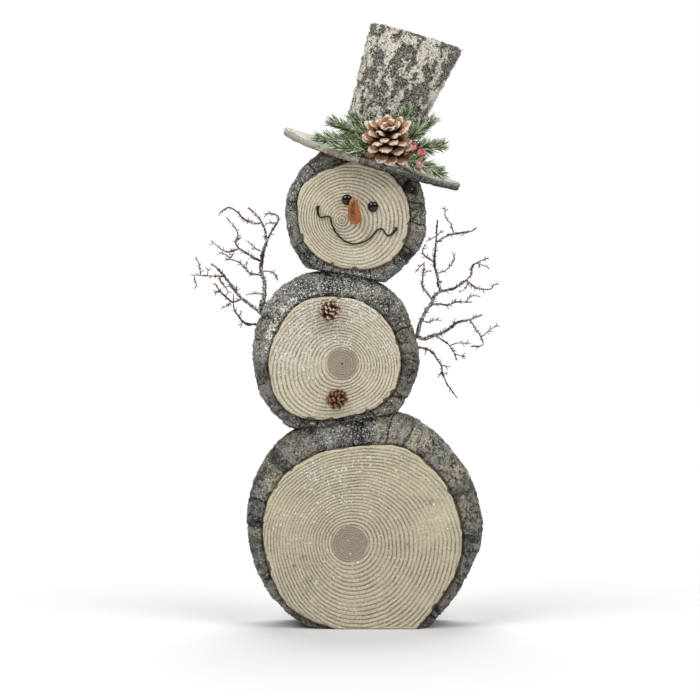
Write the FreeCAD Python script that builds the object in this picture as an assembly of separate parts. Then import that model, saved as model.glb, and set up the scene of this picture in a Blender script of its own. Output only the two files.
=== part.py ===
import FreeCAD, Part
import math
import os

# Wooden snowman: three round log slices stacked on edge, a tilted bark top hat and twig arms.
# Millimetres. +Z is up, the face looks along -Y, +X is to the right of someone looking at the face.
# The origin is on the table, under the middle of the foot flat, half-way through the slices.

Vector = FreeCAD.Vector

# ---------------------------------------------------------------- driving dimensions

# Slices, all cut to one thickness. The pale wood stands a little proud of its bark at the front.
SLICE_BACK = 40.0
BARK_FRONT = -38.5
WOOD_FRONT = -42.0
STOCK = 400.0

# Each slice is drawn by its radii at sixteen even compass points, from +X round by +Z.
LOWER_CENTRE = (-6.0, 94.6)
LOWER_WOOD = (101, 99, 98, 97, 90, 92, 97, 101, 100, 100, 103, 99, 98, 110, 103, 102)
LOWER_BARK = (122, 124, 125, 128, 125, 125, 125, 121, 116, 112, 110, 106, 102, 115, 114, 115)
MIDDLE_CENTRE = (-32.0, 274.0)
MIDDLE_WOOD = (65, 63, 62, 61, 61, 64, 65, 65, 68, 71, 74, 68, 62, 62, 66, 67)
MIDDLE_BARK = (84, 83, 87, 88, 88, 90, 90, 87, 84, 85, 85, 85, 84, 84, 84, 82)
HEAD_CENTRE = (-13.0, 418.7)
HEAD_WOOD = (55, 54, 53, 53, 53, 52, 56, 60, 58, 59, 58, 57, 57, 59, 60, 57)
HEAD_BARK = (72, 72, 74, 74, 73, 72, 71, 71, 70, 70, 72, 72, 72, 74, 72, 74)

# How far out from the wood the bark has come, at each depth from its front edge to its back edge.
BARK_PROFILE = (
    (BARK_FRONT, 0.12),
    (-35.5, 0.5),
    (-30.0, 0.84),
    (-22.0, 1.0),
    (34.0, 1.0),
    (SLICE_BACK, 0.88),
)

# Flat seats between the pieces: a point (x, z) at half depth, the fall to the right (roll) and the
# fall to the front (pitch), in degrees.
WAIST = (-24.0, 209.5, -8.9, 0.0)
NECK = (-21.5, 358.5, 10.5, 0.0)
HAT_SEAT = (3.0, 472.5, 17.0, 9.5)

# Wooden dowels that pin the stack: distance either side of the seat's middle, radius, and reach
# below and above the seat.
HOLE_CLEARANCE = 0.05
WAIST_DOWEL = (28.0, 5.0, 40.0, 32.0)
NECK_DOWEL = (20.0, 5.0, 36.0, 26.0)
HAT_DOWEL = (18.0, 4.0, 26.0, 34.0)

# Hat brim: an oval board with its left end curled up a little and a strip of bark left on the
# front right of its rim.
BRIM_HALF_LENGTH = 94.0
BRIM_HALF_DEPTH = 56.0
BRIM_THICKNESS = 7.0
BRIM_CURL_START = 50.0
BRIM_CURL_RISE = 3.0
BRIM_BARK_WIDTH = 3.5
BRIM_BARK_START = -97.0
BRIM_BARK_END = 6.0

# Hat crown: a flared oval block in a wrap of bark, leaning a little more than its brim.
# Foot and top are each: shift to the right, half width and half depth.
CROWN_PITCH = 3.0
CROWN_DEPTH_SHIFT = 2.0
CROWN_FOOT_HEIGHT = -12.0
CROWN_FOOT = (-3.0, 29.1, 21.5)
CROWN_TOP_HEIGHT = 137.3
CROWN_TOP = (7.3, 48.3, 28.0)
CROWN_BARK_THICKNESS = 5.0

# Face.
EYE_RADIUS = 5.5
EYE_FLATTENING = 0.8
EYE_PIN_RADIUS = 1.0
EYE_PIN_LENGTH = 10.0
LEFT_EYE = (-21.0, 432.0)
RIGHT_EYE = (5.0, 425.0)
NOSE_ROOT = (-12.4, 413.3)
NOSE_BEND = (-14.5, -53.0, 420.8)
NOSE_TIP = (-13.7, -63.0, 429.9)
NOSE_RADII = (6.5, 5.7, 3.5)
NOSE_PEG_RADIUS = 2.0
NOSE_PEG_LENGTH = 9.0
SMILE_WIRE_RADIUS = 0.9
SMILE_PIN_LENGTH = 6.0
SMILE = ((-50.5, 424.0), (-50.0, 418.0), (-47.7, 414.3), (-41.5, 415.2), (-37.3, 414.0), (-36.9, 410.0),
         (-35.3, 405.0), (-31.2, 398.0), (-24.0, 391.0), (-16.1, 388.0), (-8.0, 388.4), (0.0, 392.0),
         (7.0, 398.8), (10.0, 401.8), (14.0, 402.8), (17.2, 398.8), (20.2, 395.8), (24.2, 397.8),
         (28.2, 402.2))

# Buttons: little cones lying point outwards, each held by a dab of glue.
BUTTON_RADIUS = 11.0
BUTTON_HEIGHT = 12.0
UPPER_BUTTON = (-39.0, 320.0)
LOWER_BUTTON = (-31.0, 232.0)
BUTTON_GLUE_RADIUS = 5.0
BUTTON_GLUE_THICKNESS = 1.5

# Twig sockets in the middle slice: compass angle, depth across the slice, radius of the round
# stub in its hole, and how deep it goes.
LEFT_SOCKET = (149.5, 0.0, 2.6, 30.0)
RIGHT_SOCKET = (14.5, 0.0, 2.6, 30.0)
LEFT_SIDE_SOCKET = (158.0, -12.0, 1.5, 16.0)
RIGHT_SIDE_SOCKET = (6.5, -10.0, 1.5, 16.0)
STUB_SHOWS = 2.2

# Each straight length of twig is seven-sided and overruns its ends by this share of its radius.
OVERRUN = 0.6
TWIG_SIDES = 7

# Twig branches: radius at the start, radius at the end, and the points from the stub's end.
LEFT_ARM = (
    (2.3, 1.6, ((0, 0, 0), (1, -1, 7), (4, -2, 18), (4, -2, 32),
                (1, -1, 40), (1, 1, 52), (3, 2, 62), (6, 3, 72))),
    (1.5, 0.8, ((6, 3, 72), (5, 4, 83), (1, 6, 92), (-4, 7, 99), (-13, 6, 108))),
    (1.3, 0.6, ((6, 3, 72), (13, -3, 85), (19, -8, 95), (15, -9, 100), (4, -9, 100))),
    (1.1, 0.6, ((1, 6, 92), (-8, 8, 92), (-19, 10, 97), (-24, 10, 103), (-33, 8, 108), (-43, 6, 102))),
    (1.3, 0.7, ((1, 1, 52), (-8, -3, 56), (-21, -9, 65), (-25, -11, 72), (-19, -13, 76))),
    (0.7, 0.5, ((-25, -11, 72), (-23, -12, 82), (-35, -15, 97))),
    (0.9, 0.5, ((-21, -9, 65), (-30, -12, 62), (-36, -13, 62), (-50, -13, 73))),
    (1.2, 0.6, ((2, -1, 38), (-10, 6, 40), (-16, 9, 45), (-22, 12, 51), (-29, 14, 54), (-37, 14, 55))),
    (0.8, 0.5, ((3, -2, 42), (10, -6, 42), (16, -9, 38), (18, -10, 32))),
    (1.9, 0.8, ((0, 0, 0), (-6, 2, 4), (-19, 3, 14), (-25, 2, 20),
                (-29, 1, 26), (-36, 0, 36), (-50, -2, 50))),
    (1.2, 0.6, ((-19, 3, 14), (-29, 7, 11), (-36, 9, 16), (-43, 10, 23), (-47, 10, 30))),
    (0.8, 0.5, ((-36, 0, 36), (-43, -5, 37), (-56, -7, 37), (-71, -8, 38))),
    (0.6, 0.45, ((-61, -7, 37), (-62, -8, 48), (-66, -9, 57))),
)
RIGHT_ARM = (
    (2.3, 1.6, ((0, 0, 0), (2, -1, 8), (4, -2, 16), (9, -3, 25),
                (14, -3, 32), (18, -2, 41), (24, 0, 46))),
    (1.5, 0.8, ((24, 0, 46), (22, 3, 56), (18, 6, 75), (19, 6, 88), (20, 4, 103), (21, 2, 119))),
    (1.5, 1.1, ((24, 0, 46), (38, -5, 49), (50, -9, 57))),
    (0.9, 0.5, ((50, -9, 57), (55, -11, 62), (56, -12, 70), (60, -13, 74), (73, -15, 80))),
    (1.0, 0.5, ((50, -9, 57), (58, -10, 50), (65, -10, 48), (75, -9, 48), (78, -8, 52), (84, -7, 53))),
    (1.1, 0.6, ((20, 5, 96), (31, 9, 103), (38, 11, 105), (55, 13, 108), (62, 13, 112))),
    (0.6, 0.45, ((38, 11, 105), (36, 12, 115), (30, 12, 122), (29, 12, 134))),
    (0.9, 0.5, ((18, 6, 75), (9, 2, 82), (6, 1, 86), (8, 1, 94))),
    (1.0, 0.6, ((16, -2, 36), (10, -7, 44), (5, -10, 51), (6, -12, 67), (7, -10, 76))),
    (0.7, 0.5, ((20, 5, 64), (27, 9, 66), (32, 12, 70), (39, 14, 80), (37, 14, 87))),
    (1.1, 0.6, ((14, -3, 32), (22, 2, 33), (31, 5, 32), (41, 7, 35), (57, 8, 35))),
    (1.9, 0.8, ((0, 0, 0), (7, 1, -3), (18, 3, 1), (25, 4, 3),
                (34, 5, 8), (42, 6, 14), (54, 6, 17), (68, 6, 22))),
    (0.8, 0.5, ((54, 6, 17), (60, 9, 8), (66, 10, -1), (68, 10, -9), (55, 9, -11))),
    (0.6, 0.45, ((66, 10, -1), (75, 12, 6), (84, 13, 12))),
    (0.9, 0.5, ((18, 3, 1), (29, -2, -6), (33, -4, -10), (39, -7, -18), (49, -9, -21))),
)
LEFT_SIDE_TWIG = (
    (1.2, 0.5, ((0, 0, 0), (-8, -1, 0), (-13, -2, 3), (-20, -3, 12), (-22, -3, 19), (-22, -3, 31))),
    (0.6, 0.45, ((-13, -2, 3), (-15, -4, -4))),
)
RIGHT_SIDE_TWIG = (
    (1.2, 0.5, ((0, 0, 0), (6, -1, -2), (13, -3, -6), (21, -5, -18),
                (23, -5, -27), (28, -5, -38), (38, -4, -52))),
    (0.6, 0.45, ((21, -5, -18), (31, -8, -20))),
    (0.6, 0.45, ((23, -5, -27), (29, -2, -26))),
)

# Hat spray: a big cone, three berries on wires and eight fir sprigs, bedded in glue on the brim.
CONE_CENTRE = (22.0, -49.0, 489.0)
CONE_AXIS = (-0.05, -0.62, 0.78)
CONE_PROFILE = ((-20, 0), (-20, 8), (-16, 16), (-13, 14), (-9, 20), (-6, 17), (-2, 22), (1, 17),
                (6, 21), (9, 15), (13, 17), (16, 9), (20, 9), (22, 0))
BERRY_RADIUS = 4.75
BERRY_WIRE_RADIUS = 0.5
BERRY_ROOT = (36.0, -46.0, 477.0)
BERRIES = (
    ("berry_upper", (45.0, -50.0, 484.5)),
    ("berry_middle", (53.5, -52.5, 478.0)),
    ("berry_lower", (52.0, -54.5, 466.5)),
)
SPRAY_GLUE = (19.0, -40.0, 13.0, 3.0)
SPRIG_WAIST = 0.5
SPRIG_END_RADIUS = 1.5
SPRIGS = (
    ("sprig_left_low", (0.0, -52.0, 480.0), (-44.0, -55.0, 486.0), 8.0),
    ("sprig_left_long", (2.0, -42.0, 487.0), (-54.0, -38.0, 500.0), 9.0),
    ("sprig_left_high", (4.0, -40.0, 492.0), (-38.0, -36.0, 516.0), 8.0),
    ("sprig_left_crown", (8.0, -36.0, 496.0), (-16.0, -33.0, 521.0), 7.0),
    ("sprig_right_crown", (32.0, -36.0, 496.0), (40.0, -34.0, 530.0), 8.0),
    ("sprig_right_high", (38.0, -38.0, 490.0), (66.0, -36.0, 518.0), 8.0),
    ("sprig_right_long", (42.0, -40.0, 480.0), (76.0, -40.0, 492.0), 8.0),
    ("sprig_right_low", (38.0, -50.0, 471.0), (74.0, -54.0, 462.0), 8.0),
)

nodes = {}


# ---------------------------------------------------------------- helpers

def seat_placement(seat):
    """Frame of a seat: its local Z is the seat's normal, pitched first and then rolled."""
    x, z, roll, pitch = seat
    turn = FreeCAD.Rotation(Vector(0, 1, 0), roll).multiply(FreeCAD.Rotation(Vector(1, 0, 0), pitch))
    return FreeCAD.Placement(Vector(x, 0, z), turn)


def in_frame(shape, placement):
    """Copy of a shape drawn in a local frame, moved to where that frame is."""
    moved = shape.copy()
    moved.transformShape(placement.toMatrix(), True)
    return moved


def above(seat, lift=0.0):
    """Everything above a seat, as one big block."""
    block = Part.makeBox(2 * STOCK, 2 * STOCK, STOCK, Vector(-STOCK, -STOCK, lift))
    return in_frame(block, seat_placement(seat))


def below(seat):
    """Everything below a seat, as one big block."""
    block = Part.makeBox(2 * STOCK, 2 * STOCK, STOCK, Vector(-STOCK, -STOCK, -STOCK))
    return in_frame(block, seat_placement(seat))


def largest(shape):
    """The biggest solid of a result, without the slivers a cut can leave."""
    return max(shape.Solids, key=lambda solid: solid.Volume)


def slice_wire(centre, radii, y):
    """Closed smooth outline of a slice at one depth."""
    points = []
    for number, radius in enumerate(radii):
        angle = 2 * math.pi * number / len(radii)
        points.append(Vector(centre[0] + radius * math.cos(angle), y, centre[1] + radius * math.sin(angle)))
    curve = Part.BSplineCurve()
    curve.interpolate(points, PeriodicFlag=True)
    return Part.Wire([curve.toShape()])


def wood_disc(centre, radii):
    """The pale heart of a slice, right through its thickness."""
    face = Part.Face(slice_wire(centre, radii, WOOD_FRONT))
    return face.extrude(Vector(0, SLICE_BACK - WOOD_FRONT, 0))


def bark_ring(centre, wood_radii, bark_radii, wood):
    """The bark round a slice: it rises from the wood's edge, runs straight back and is eased behind."""
    wires = []
    for y, share in BARK_PROFILE:
        radii = [inner + share * (outer - inner) for inner, outer in zip(wood_radii, bark_radii)]
        wires.append(slice_wire(centre, radii, y))
    return Part.makeLoft(wires, True, True).cut(wood)


def rod(start, end, radius):
    """Round rod between two points."""
    way = end.sub(start)
    return Part.makeCylinder(radius, way.Length, start, way)


def dowel_pair(seat, sizes, extra):
    """Two dowels square to a seat, or with extra radius, the holes that they go in."""
    offset, radius, reach_down, reach_up = sizes
    pair = []
    for side in (-1, 1):
        peg = Part.makeCylinder(radius + extra, reach_down + reach_up + 2 * extra,
                                Vector(side * offset, 0, -reach_down - extra), Vector(0, 0, 1))
        pair.append(in_frame(peg, seat_placement(seat)))
    return pair


def socket_frame(socket):
    """Mouth of a twig socket on the middle slice's bark, and the way out of it."""
    angle, y, _, _ = socket
    turn = math.radians(angle)
    outward = Vector(math.cos(turn), 0, math.sin(turn))
    place = 16.0 * (angle % 360.0) / 360.0
    before = int(place)
    share = place - before
    radius = (1 - share) * MIDDLE_BARK[before] + share * MIDDLE_BARK[(before + 1) % 16]
    mouth = Vector(MIDDLE_CENTRE[0], y, MIDDLE_CENTRE[1]).add(outward * radius)
    return mouth, outward


def socket_hole(socket):
    """Drilled hole for a twig's stub."""
    mouth, outward = socket_frame(socket)
    _, _, radius, depth = socket
    over = 12.0
    start = mouth.sub(outward * (depth + HOLE_CLEARANCE))
    return rod(start, mouth.add(outward * over), radius + HOLE_CLEARANCE)


def tapered_length(start, end, start_radius, end_radius, turn):
    """Straight many-sided length of twig that runs a little past both of its ends."""
    way = end.sub(start).normalize()
    across = way.cross(Vector(0, 1, 0) if abs(way.y) < 0.7 else Vector(1, 0, 0)).normalize()
    over = way.cross(across)
    rims = []
    for centre, radius in ((start.sub(way * (OVERRUN * start_radius)), start_radius),
                           (end.add(way * (OVERRUN * end_radius)), end_radius)):
        rim = []
        for side in range(TWIG_SIDES):
            angle = turn + 2 * math.pi * side / TWIG_SIDES
            rim.append(centre.add(across * (radius * math.cos(angle))).add(over * (radius * math.sin(angle))))
        rims.append(rim)
    low, high = rims
    faces = [Part.Face(Part.makePolygon(rim + [rim[0]])) for rim in rims]
    for side in range(TWIG_SIDES):
        after = (side + 1) % TWIG_SIDES
        corners = [low[side], low[after], high[after], high[side], low[side]]
        faces.append(Part.Face(Part.makePolygon(corners)))
    return Part.Solid(Part.Shell(faces))


def twig(socket, branches):
    """A forked twig on a round stub: tapered lengths, each turned a little against the one before."""
    mouth, outward = socket_frame(socket)
    _, _, radius, depth = socket
    stub_end = mouth.add(outward * STUB_SHOWS)
    pieces = [rod(mouth.sub(outward * depth), stub_end.add(outward * radius), radius)]
    for start_radius, end_radius, offsets in branches:
        points = [stub_end.add(Vector(*offset)) for offset in offsets]
        last = len(points) - 1
        for number in range(last):
            first_radius = start_radius + (end_radius - start_radius) * number / last
            next_radius = start_radius + (end_radius - start_radius) * (number + 1) / last
            turn = 0.4 * len(pieces)
            pieces.append(tapered_length(points[number], points[number + 1], first_radius, next_radius, turn))
    return largest(pieces[0].multiFuse(pieces[1:]))


def revolved(profile):
    """Solid turned about local Z from (height, radius) points that start and end on the axis."""
    points = [Vector(radius, 0, height) for height, radius in profile]
    outline = Part.makePolygon(points + [points[0]])
    return Part.Face(outline).revolve(Vector(0, 0, 0), Vector(0, 0, 1), 360)


def standing(shape, base, direction):
    """A shape drawn up local Z, stood at a point along a direction."""
    return in_frame(shape, FreeCAD.Placement(base, FreeCAD.Rotation(Vector(0, 0, 1), direction)))


# ---------------------------------------------------------------- log slices and dowels

def make_slices():
    """Cuts the three slices to their seats and drills them for dowels and twigs."""
    floor = (0.0, 0.0, 0.0, 0.0)
    waist_holes = dowel_pair(WAIST, WAIST_DOWEL, HOLE_CLEARANCE)
    neck_holes = dowel_pair(NECK, NECK_DOWEL, HOLE_CLEARANCE)
    hat_holes = dowel_pair(HAT_SEAT, HAT_DOWEL, HOLE_CLEARANCE)
    twig_holes = [socket_hole(socket)
                  for socket in (LEFT_SOCKET, RIGHT_SOCKET, LEFT_SIDE_SOCKET, RIGHT_SIDE_SOCKET)]
    plans = (
        ("lower_slice", LOWER_CENTRE, LOWER_WOOD, LOWER_BARK, [below(floor), above(WAIST)] + waist_holes),
        ("middle_slice", MIDDLE_CENTRE, MIDDLE_WOOD, MIDDLE_BARK,
         [below(WAIST), above(NECK)] + waist_holes + neck_holes + twig_holes),
        ("head_slice", HEAD_CENTRE, HEAD_WOOD, HEAD_BARK,
         [below(NECK), above(HAT_SEAT)] + neck_holes + hat_holes),
    )
    for name, centre, wood_radii, bark_radii, tools in plans:
        wood = wood_disc(centre, wood_radii)
        bark = bark_ring(centre, wood_radii, bark_radii, wood)
        nodes[name + "_wood"] = largest(wood.cut(tools))
        nodes[name + "_bark"] = largest(bark.cut(tools))


def make_dowels():
    """The six dowels, two at each seat."""
    plans = (("waist", WAIST, WAIST_DOWEL), ("neck", NECK, NECK_DOWEL), ("hat", HAT_SEAT, HAT_DOWEL))
    for name, seat, sizes in plans:
        left, right = dowel_pair(seat, sizes, 0.0)
        nodes[name + "_dowel_left"] = left
        nodes[name + "_dowel_right"] = right


# ---------------------------------------------------------------- hat

def arc_edge(start, middle, end):
    """Arc through three points."""
    return Part.Arc(start, middle, end).toShape()


def curled_sheet():
    """Sheet of the brim's thickness, flat on local Z = 0 and rising in an arc to its left end."""
    half = BRIM_HALF_LENGTH
    run = half - BRIM_CURL_START
    depth = 2 * BRIM_HALF_DEPTH
    flat_end = Vector(-BRIM_CURL_START, -depth, 0)
    middle = Vector(-BRIM_CURL_START - run / 2, -depth, BRIM_CURL_RISE / 4)
    tip = Vector(-half - 1, -depth, BRIM_CURL_RISE)
    up = Vector(0, 0, BRIM_THICKNESS)
    right = Vector(half + 1, -depth, 0)
    edges = [
        Part.LineSegment(right, flat_end).toShape(),
        arc_edge(flat_end, middle, tip),
        Part.LineSegment(tip, tip.add(up)).toShape(),
        arc_edge(tip.add(up), middle.add(up), flat_end.add(up)),
        Part.LineSegment(flat_end.add(up), right.add(up)).toShape(),
        Part.LineSegment(right.add(up), right).toShape(),
    ]
    return Part.Face(Part.Wire(edges)).extrude(Vector(0, 2 * depth, 0))


def oval_board(half_length, half_depth):
    """Oval piece of the curled sheet."""
    ellipse = Part.Ellipse(Vector(0, 0, -BRIM_THICKNESS), half_length, half_depth)
    column = Part.Face(Part.Wire([ellipse.toShape()])).extrude(Vector(0, 0, 4 * BRIM_THICKNESS))
    return column.common(curled_sheet())


def rim_sector():
    """Fan-shaped block over the stretch of brim rim that keeps its bark."""
    reach = 2 * BRIM_HALF_LENGTH
    points = [Vector(0, 0, -1)]
    steps = 6
    for number in range(steps + 1):
        angle = math.radians(BRIM_BARK_START + (BRIM_BARK_END - BRIM_BARK_START) * number / steps)
        points.append(Vector(reach * math.cos(angle), reach * math.sin(angle), -1))
    return Part.Face(Part.makePolygon(points + [points[0]])).extrude(Vector(0, 0, 2 * BRIM_THICKNESS))


def crown_loft(inset):
    """Flared oval block of the crown in the hat's frame, drawn in by an inset."""
    wires = []
    for height, oval in ((CROWN_FOOT_HEIGHT, CROWN_FOOT), (CROWN_TOP_HEIGHT, CROWN_TOP)):
        shift, half_width, half_depth = oval
        middle = Vector(shift, CROWN_DEPTH_SHIFT, height)
        ellipse = Part.Ellipse(middle, half_width - inset, half_depth - inset)
        wires.append(Part.Wire([ellipse.toShape()]))
    return Part.makeLoft(wires, True, True)


def make_hat():
    """Brim board, its bark edge, the crown block and the crown's bark wrap."""
    seat = seat_placement(HAT_SEAT)
    holes = dowel_pair(HAT_SEAT, HAT_DOWEL, HOLE_CLEARANCE)
    board = oval_board(BRIM_HALF_LENGTH, BRIM_HALF_DEPTH)
    inner = oval_board(BRIM_HALF_LENGTH - BRIM_BARK_WIDTH, BRIM_HALF_DEPTH - BRIM_BARK_WIDTH)
    edge = board.cut(inner).common(rim_sector())
    nodes["hat_brim"] = largest(in_frame(board.cut(edge), seat).cut(holes))
    nodes["hat_brim_bark_edge"] = largest(in_frame(edge, seat))
    crown_seat = (HAT_SEAT[0], HAT_SEAT[1], HAT_SEAT[2], CROWN_PITCH)
    crown_frame = seat_placement(crown_seat)
    under_crown = above(HAT_SEAT, BRIM_THICKNESS)
    outer = in_frame(crown_loft(0.0), crown_frame).common(under_crown)
    block = in_frame(crown_loft(CROWN_BARK_THICKNESS), crown_frame).common(under_crown)
    nodes["hat_crown_block"] = largest(block.cut(holes))
    nodes["hat_crown_bark"] = largest(outer.cut(block))


# ---------------------------------------------------------------- face and buttons

def make_eye(name, place):
    """Shiny half bead on a pin, pushed into the head; the head is drilled for the pin."""
    x, z = place
    bead = Part.makeSphere(EYE_RADIUS, Vector(0, 0, 0))
    front = Part.makeBox(2 * STOCK, STOCK, 2 * STOCK, Vector(-STOCK, -STOCK, -STOCK))
    dome = bead.common(front)
    squeeze = FreeCAD.Matrix()
    squeeze.scale(1.0, EYE_FLATTENING, 1.0)
    dome = dome.transformGeometry(squeeze)
    dome.translate(Vector(x, WOOD_FRONT, z))
    pin_end = Vector(x, WOOD_FRONT + EYE_PIN_LENGTH, z)
    pin = rod(Vector(x, WOOD_FRONT - 1.0, z), pin_end, EYE_PIN_RADIUS)
    nodes[name] = largest(dome.fuse(pin))
    hole = rod(Vector(x, WOOD_FRONT - 1.0, z), pin_end.add(Vector(0, HOLE_CLEARANCE, 0)),
               EYE_PIN_RADIUS + HOLE_CLEARANCE)
    nodes["head_slice_wood"] = largest(nodes["head_slice_wood"].cut(hole))


def make_nose():
    """Curved carrot on a peg; its thick end stands on the wood and its round tip points up and out."""
    root = Vector(NOSE_ROOT[0], WOOD_FRONT - 2.0, NOSE_ROOT[1])
    points = [root, Vector(*NOSE_BEND), Vector(*NOSE_TIP)]
    pieces = [Part.makeSphere(NOSE_RADII[0], root)]
    for number in range(2):
        way = points[number + 1].sub(points[number])
        first_radius, next_radius = NOSE_RADII[number : number + 2]
        pieces.append(Part.makeCone(first_radius, next_radius, way.Length, points[number], way))
        pieces.append(Part.makeSphere(next_radius + 0.05, points[number + 1]))
    behind = Part.makeBox(2 * STOCK, STOCK, 2 * STOCK, Vector(-STOCK, WOOD_FRONT, 0))
    carrot = pieces[0].multiFuse(pieces[1:]).cut(behind)
    front = Vector(NOSE_ROOT[0], WOOD_FRONT - 1.0, NOSE_ROOT[1])
    back = Vector(NOSE_ROOT[0], WOOD_FRONT + NOSE_PEG_LENGTH, NOSE_ROOT[1])
    nodes["carrot_nose"] = largest(carrot.fuse(rod(front, back, NOSE_PEG_RADIUS)))
    hole = rod(front, back.add(Vector(0, HOLE_CLEARANCE, 0)), NOSE_PEG_RADIUS + HOLE_CLEARANCE)
    nodes["head_slice_wood"] = largest(nodes["head_slice_wood"].cut(hole))


def make_smile():
    """Bent black wire lying on the wood, with both ends turned back into small holes."""
    y = WOOD_FRONT - SMILE_WIRE_RADIUS
    points = [Vector(x, y, z) for x, z in SMILE]
    pieces = []
    for number, point in enumerate(points):
        pieces.append(Part.makeSphere(SMILE_WIRE_RADIUS, point))
        if number:
            pieces.append(rod(points[number - 1], point, SMILE_WIRE_RADIUS))
    for end in (points[0], points[-1]):
        back = Vector(end.x, WOOD_FRONT + SMILE_PIN_LENGTH, end.z)
        pieces.append(rod(end, back, SMILE_WIRE_RADIUS))
        hole = rod(end, back.add(Vector(0, HOLE_CLEARANCE, 0)), SMILE_WIRE_RADIUS + HOLE_CLEARANCE)
        nodes["head_slice_wood"] = largest(nodes["head_slice_wood"].cut(hole))
    nodes["smile_wire"] = largest(pieces[0].multiFuse(pieces[1:]))


def make_button(name, place):
    """Small cone, point outwards, with its dab of glue."""
    x, z = place
    face = Vector(x, WOOD_FRONT, z)
    outwards = Vector(0, -1, 0)
    glue = standing(Part.makeCylinder(BUTTON_GLUE_RADIUS, BUTTON_GLUE_THICKNESS), face, outwards)
    rows = 4
    profile = [(0.0, 0.0)]
    for row in range(rows):
        low = BUTTON_HEIGHT * row / rows
        high = BUTTON_HEIGHT * (row + 0.6) / rows
        girth = BUTTON_RADIUS * math.cos(math.radians(20.0 * row))
        profile.append((low, 0.75 * girth))
        profile.append((high, girth))
    profile.append((BUTTON_HEIGHT, 0.0))
    cone = standing(revolved(profile), face.add(outwards * BUTTON_GLUE_THICKNESS), outwards)
    nodes[name + "_cone"] = cone
    nodes[name + "_glue"] = glue


# ---------------------------------------------------------------- twigs and hat spray

def make_twigs():
    """Two arms that turn in their sockets and two small twigs fixed beside them."""
    nodes["left_twig_arm"] = twig(LEFT_SOCKET, LEFT_ARM)
    nodes["right_twig_arm"] = twig(RIGHT_SOCKET, RIGHT_ARM)
    nodes["left_side_twig"] = twig(LEFT_SIDE_SOCKET, LEFT_SIDE_TWIG)
    nodes["right_side_twig"] = twig(RIGHT_SIDE_SOCKET, RIGHT_SIDE_TWIG)


def sprig_brush(start, end, radius):
    """Outer shape of a fir sprig: narrow where it is tied, widest half-way, pointed at its tip."""
    way = end.sub(start)
    profile = ((0.0, 0.0), (0.0, SPRIG_END_RADIUS), (SPRIG_WAIST * way.Length, radius),
               (way.Length, SPRIG_END_RADIUS), (way.Length, 0.0))
    return standing(revolved(profile), start, way)


def make_spray():
    """Glue bed, cone, berries and sprigs; each later piece gives way to the ones before it."""
    x, y, radius, thickness = SPRAY_GLUE
    hat = [nodes["hat_brim"], nodes["hat_brim_bark_edge"], nodes["hat_crown_bark"]]
    bed = Part.makeCylinder(radius, thickness, Vector(x, y, BRIM_THICKNESS), Vector(0, 0, 1))
    nodes["spray_glue"] = largest(in_frame(bed, seat_placement(HAT_SEAT)).cut(hat))
    taken = hat + [nodes["spray_glue"]]
    cone = standing(revolved(CONE_PROFILE), Vector(*CONE_CENTRE), Vector(*CONE_AXIS))
    nodes["hat_cone"] = largest(cone.cut(taken))
    taken.append(nodes["hat_cone"])
    for name, centre in BERRIES:
        middle = Vector(*centre)
        wire = rod(Vector(*BERRY_ROOT), middle, BERRY_WIRE_RADIUS)
        berry = Part.makeSphere(BERRY_RADIUS, middle).fuse(wire)
        nodes[name] = largest(berry.cut(taken))
        taken.append(nodes[name])
    for name, start, end, radius in SPRIGS:
        nodes[name] = largest(sprig_brush(Vector(*start), Vector(*end), radius).cut(taken))
        taken.append(nodes[name])


# ---------------------------------------------------------------- build

make_slices()
make_dowels()
make_hat()
make_eye("left_eye", LEFT_EYE)
make_eye("right_eye", RIGHT_EYE)
make_nose()
make_smile()
make_button("upper_button", UPPER_BUTTON)
make_button("lower_button", LOWER_BUTTON)
make_twigs()
make_spray()

os.makedirs("parts", exist_ok=True)
for name, shape in nodes.items():
    print(name, "valid" if shape.isValid() else "NOT VALID", len(shape.Solids), round(shape.Volume, 1))
    shape.exportStep("parts/" + name + ".step")
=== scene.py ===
"""Looks for the wooden snowman figure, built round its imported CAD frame. Shapes are worked out in
millimetres in the row frame and written to meshes in metres."""

import functools
import itertools
import math

import bpy
import numpy as np
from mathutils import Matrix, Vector
from mathutils.bvhtree import BVHTree


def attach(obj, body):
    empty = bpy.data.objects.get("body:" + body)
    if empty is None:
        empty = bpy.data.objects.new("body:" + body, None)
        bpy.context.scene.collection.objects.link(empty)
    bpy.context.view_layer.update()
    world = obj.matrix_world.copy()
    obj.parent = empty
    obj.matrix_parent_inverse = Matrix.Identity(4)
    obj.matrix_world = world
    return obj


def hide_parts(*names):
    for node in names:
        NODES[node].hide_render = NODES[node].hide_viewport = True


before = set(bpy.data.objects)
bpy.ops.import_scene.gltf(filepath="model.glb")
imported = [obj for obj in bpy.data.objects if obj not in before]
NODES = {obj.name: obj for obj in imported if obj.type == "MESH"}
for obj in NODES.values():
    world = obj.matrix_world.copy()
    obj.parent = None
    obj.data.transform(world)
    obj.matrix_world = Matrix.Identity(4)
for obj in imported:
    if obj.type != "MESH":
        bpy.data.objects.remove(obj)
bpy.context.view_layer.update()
MM = 0.001
FAR = 400.0

WOOD_FRONT = -42.0
BARK_FRONT = -38.5
SLICE_BACK = 40.0
LOWER_CENTRE = (-6.0, 94.6)
MIDDLE_CENTRE = (-32.0, 274.0)
HEAD_CENTRE = (-13.0, 418.7)


# ---------------------------------------------------------------- numbers


def turns(count):
    """Even angles all the way round."""
    return np.arange(count) * 2 * math.pi / count


def smooth(low, high, value):
    """0 below low, 1 above high and an even curve between; low may be the larger."""
    t = np.clip((value - low) / (high - low), 0.0, 1.0)
    return t * t * (3.0 - 2.0 * t)


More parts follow.
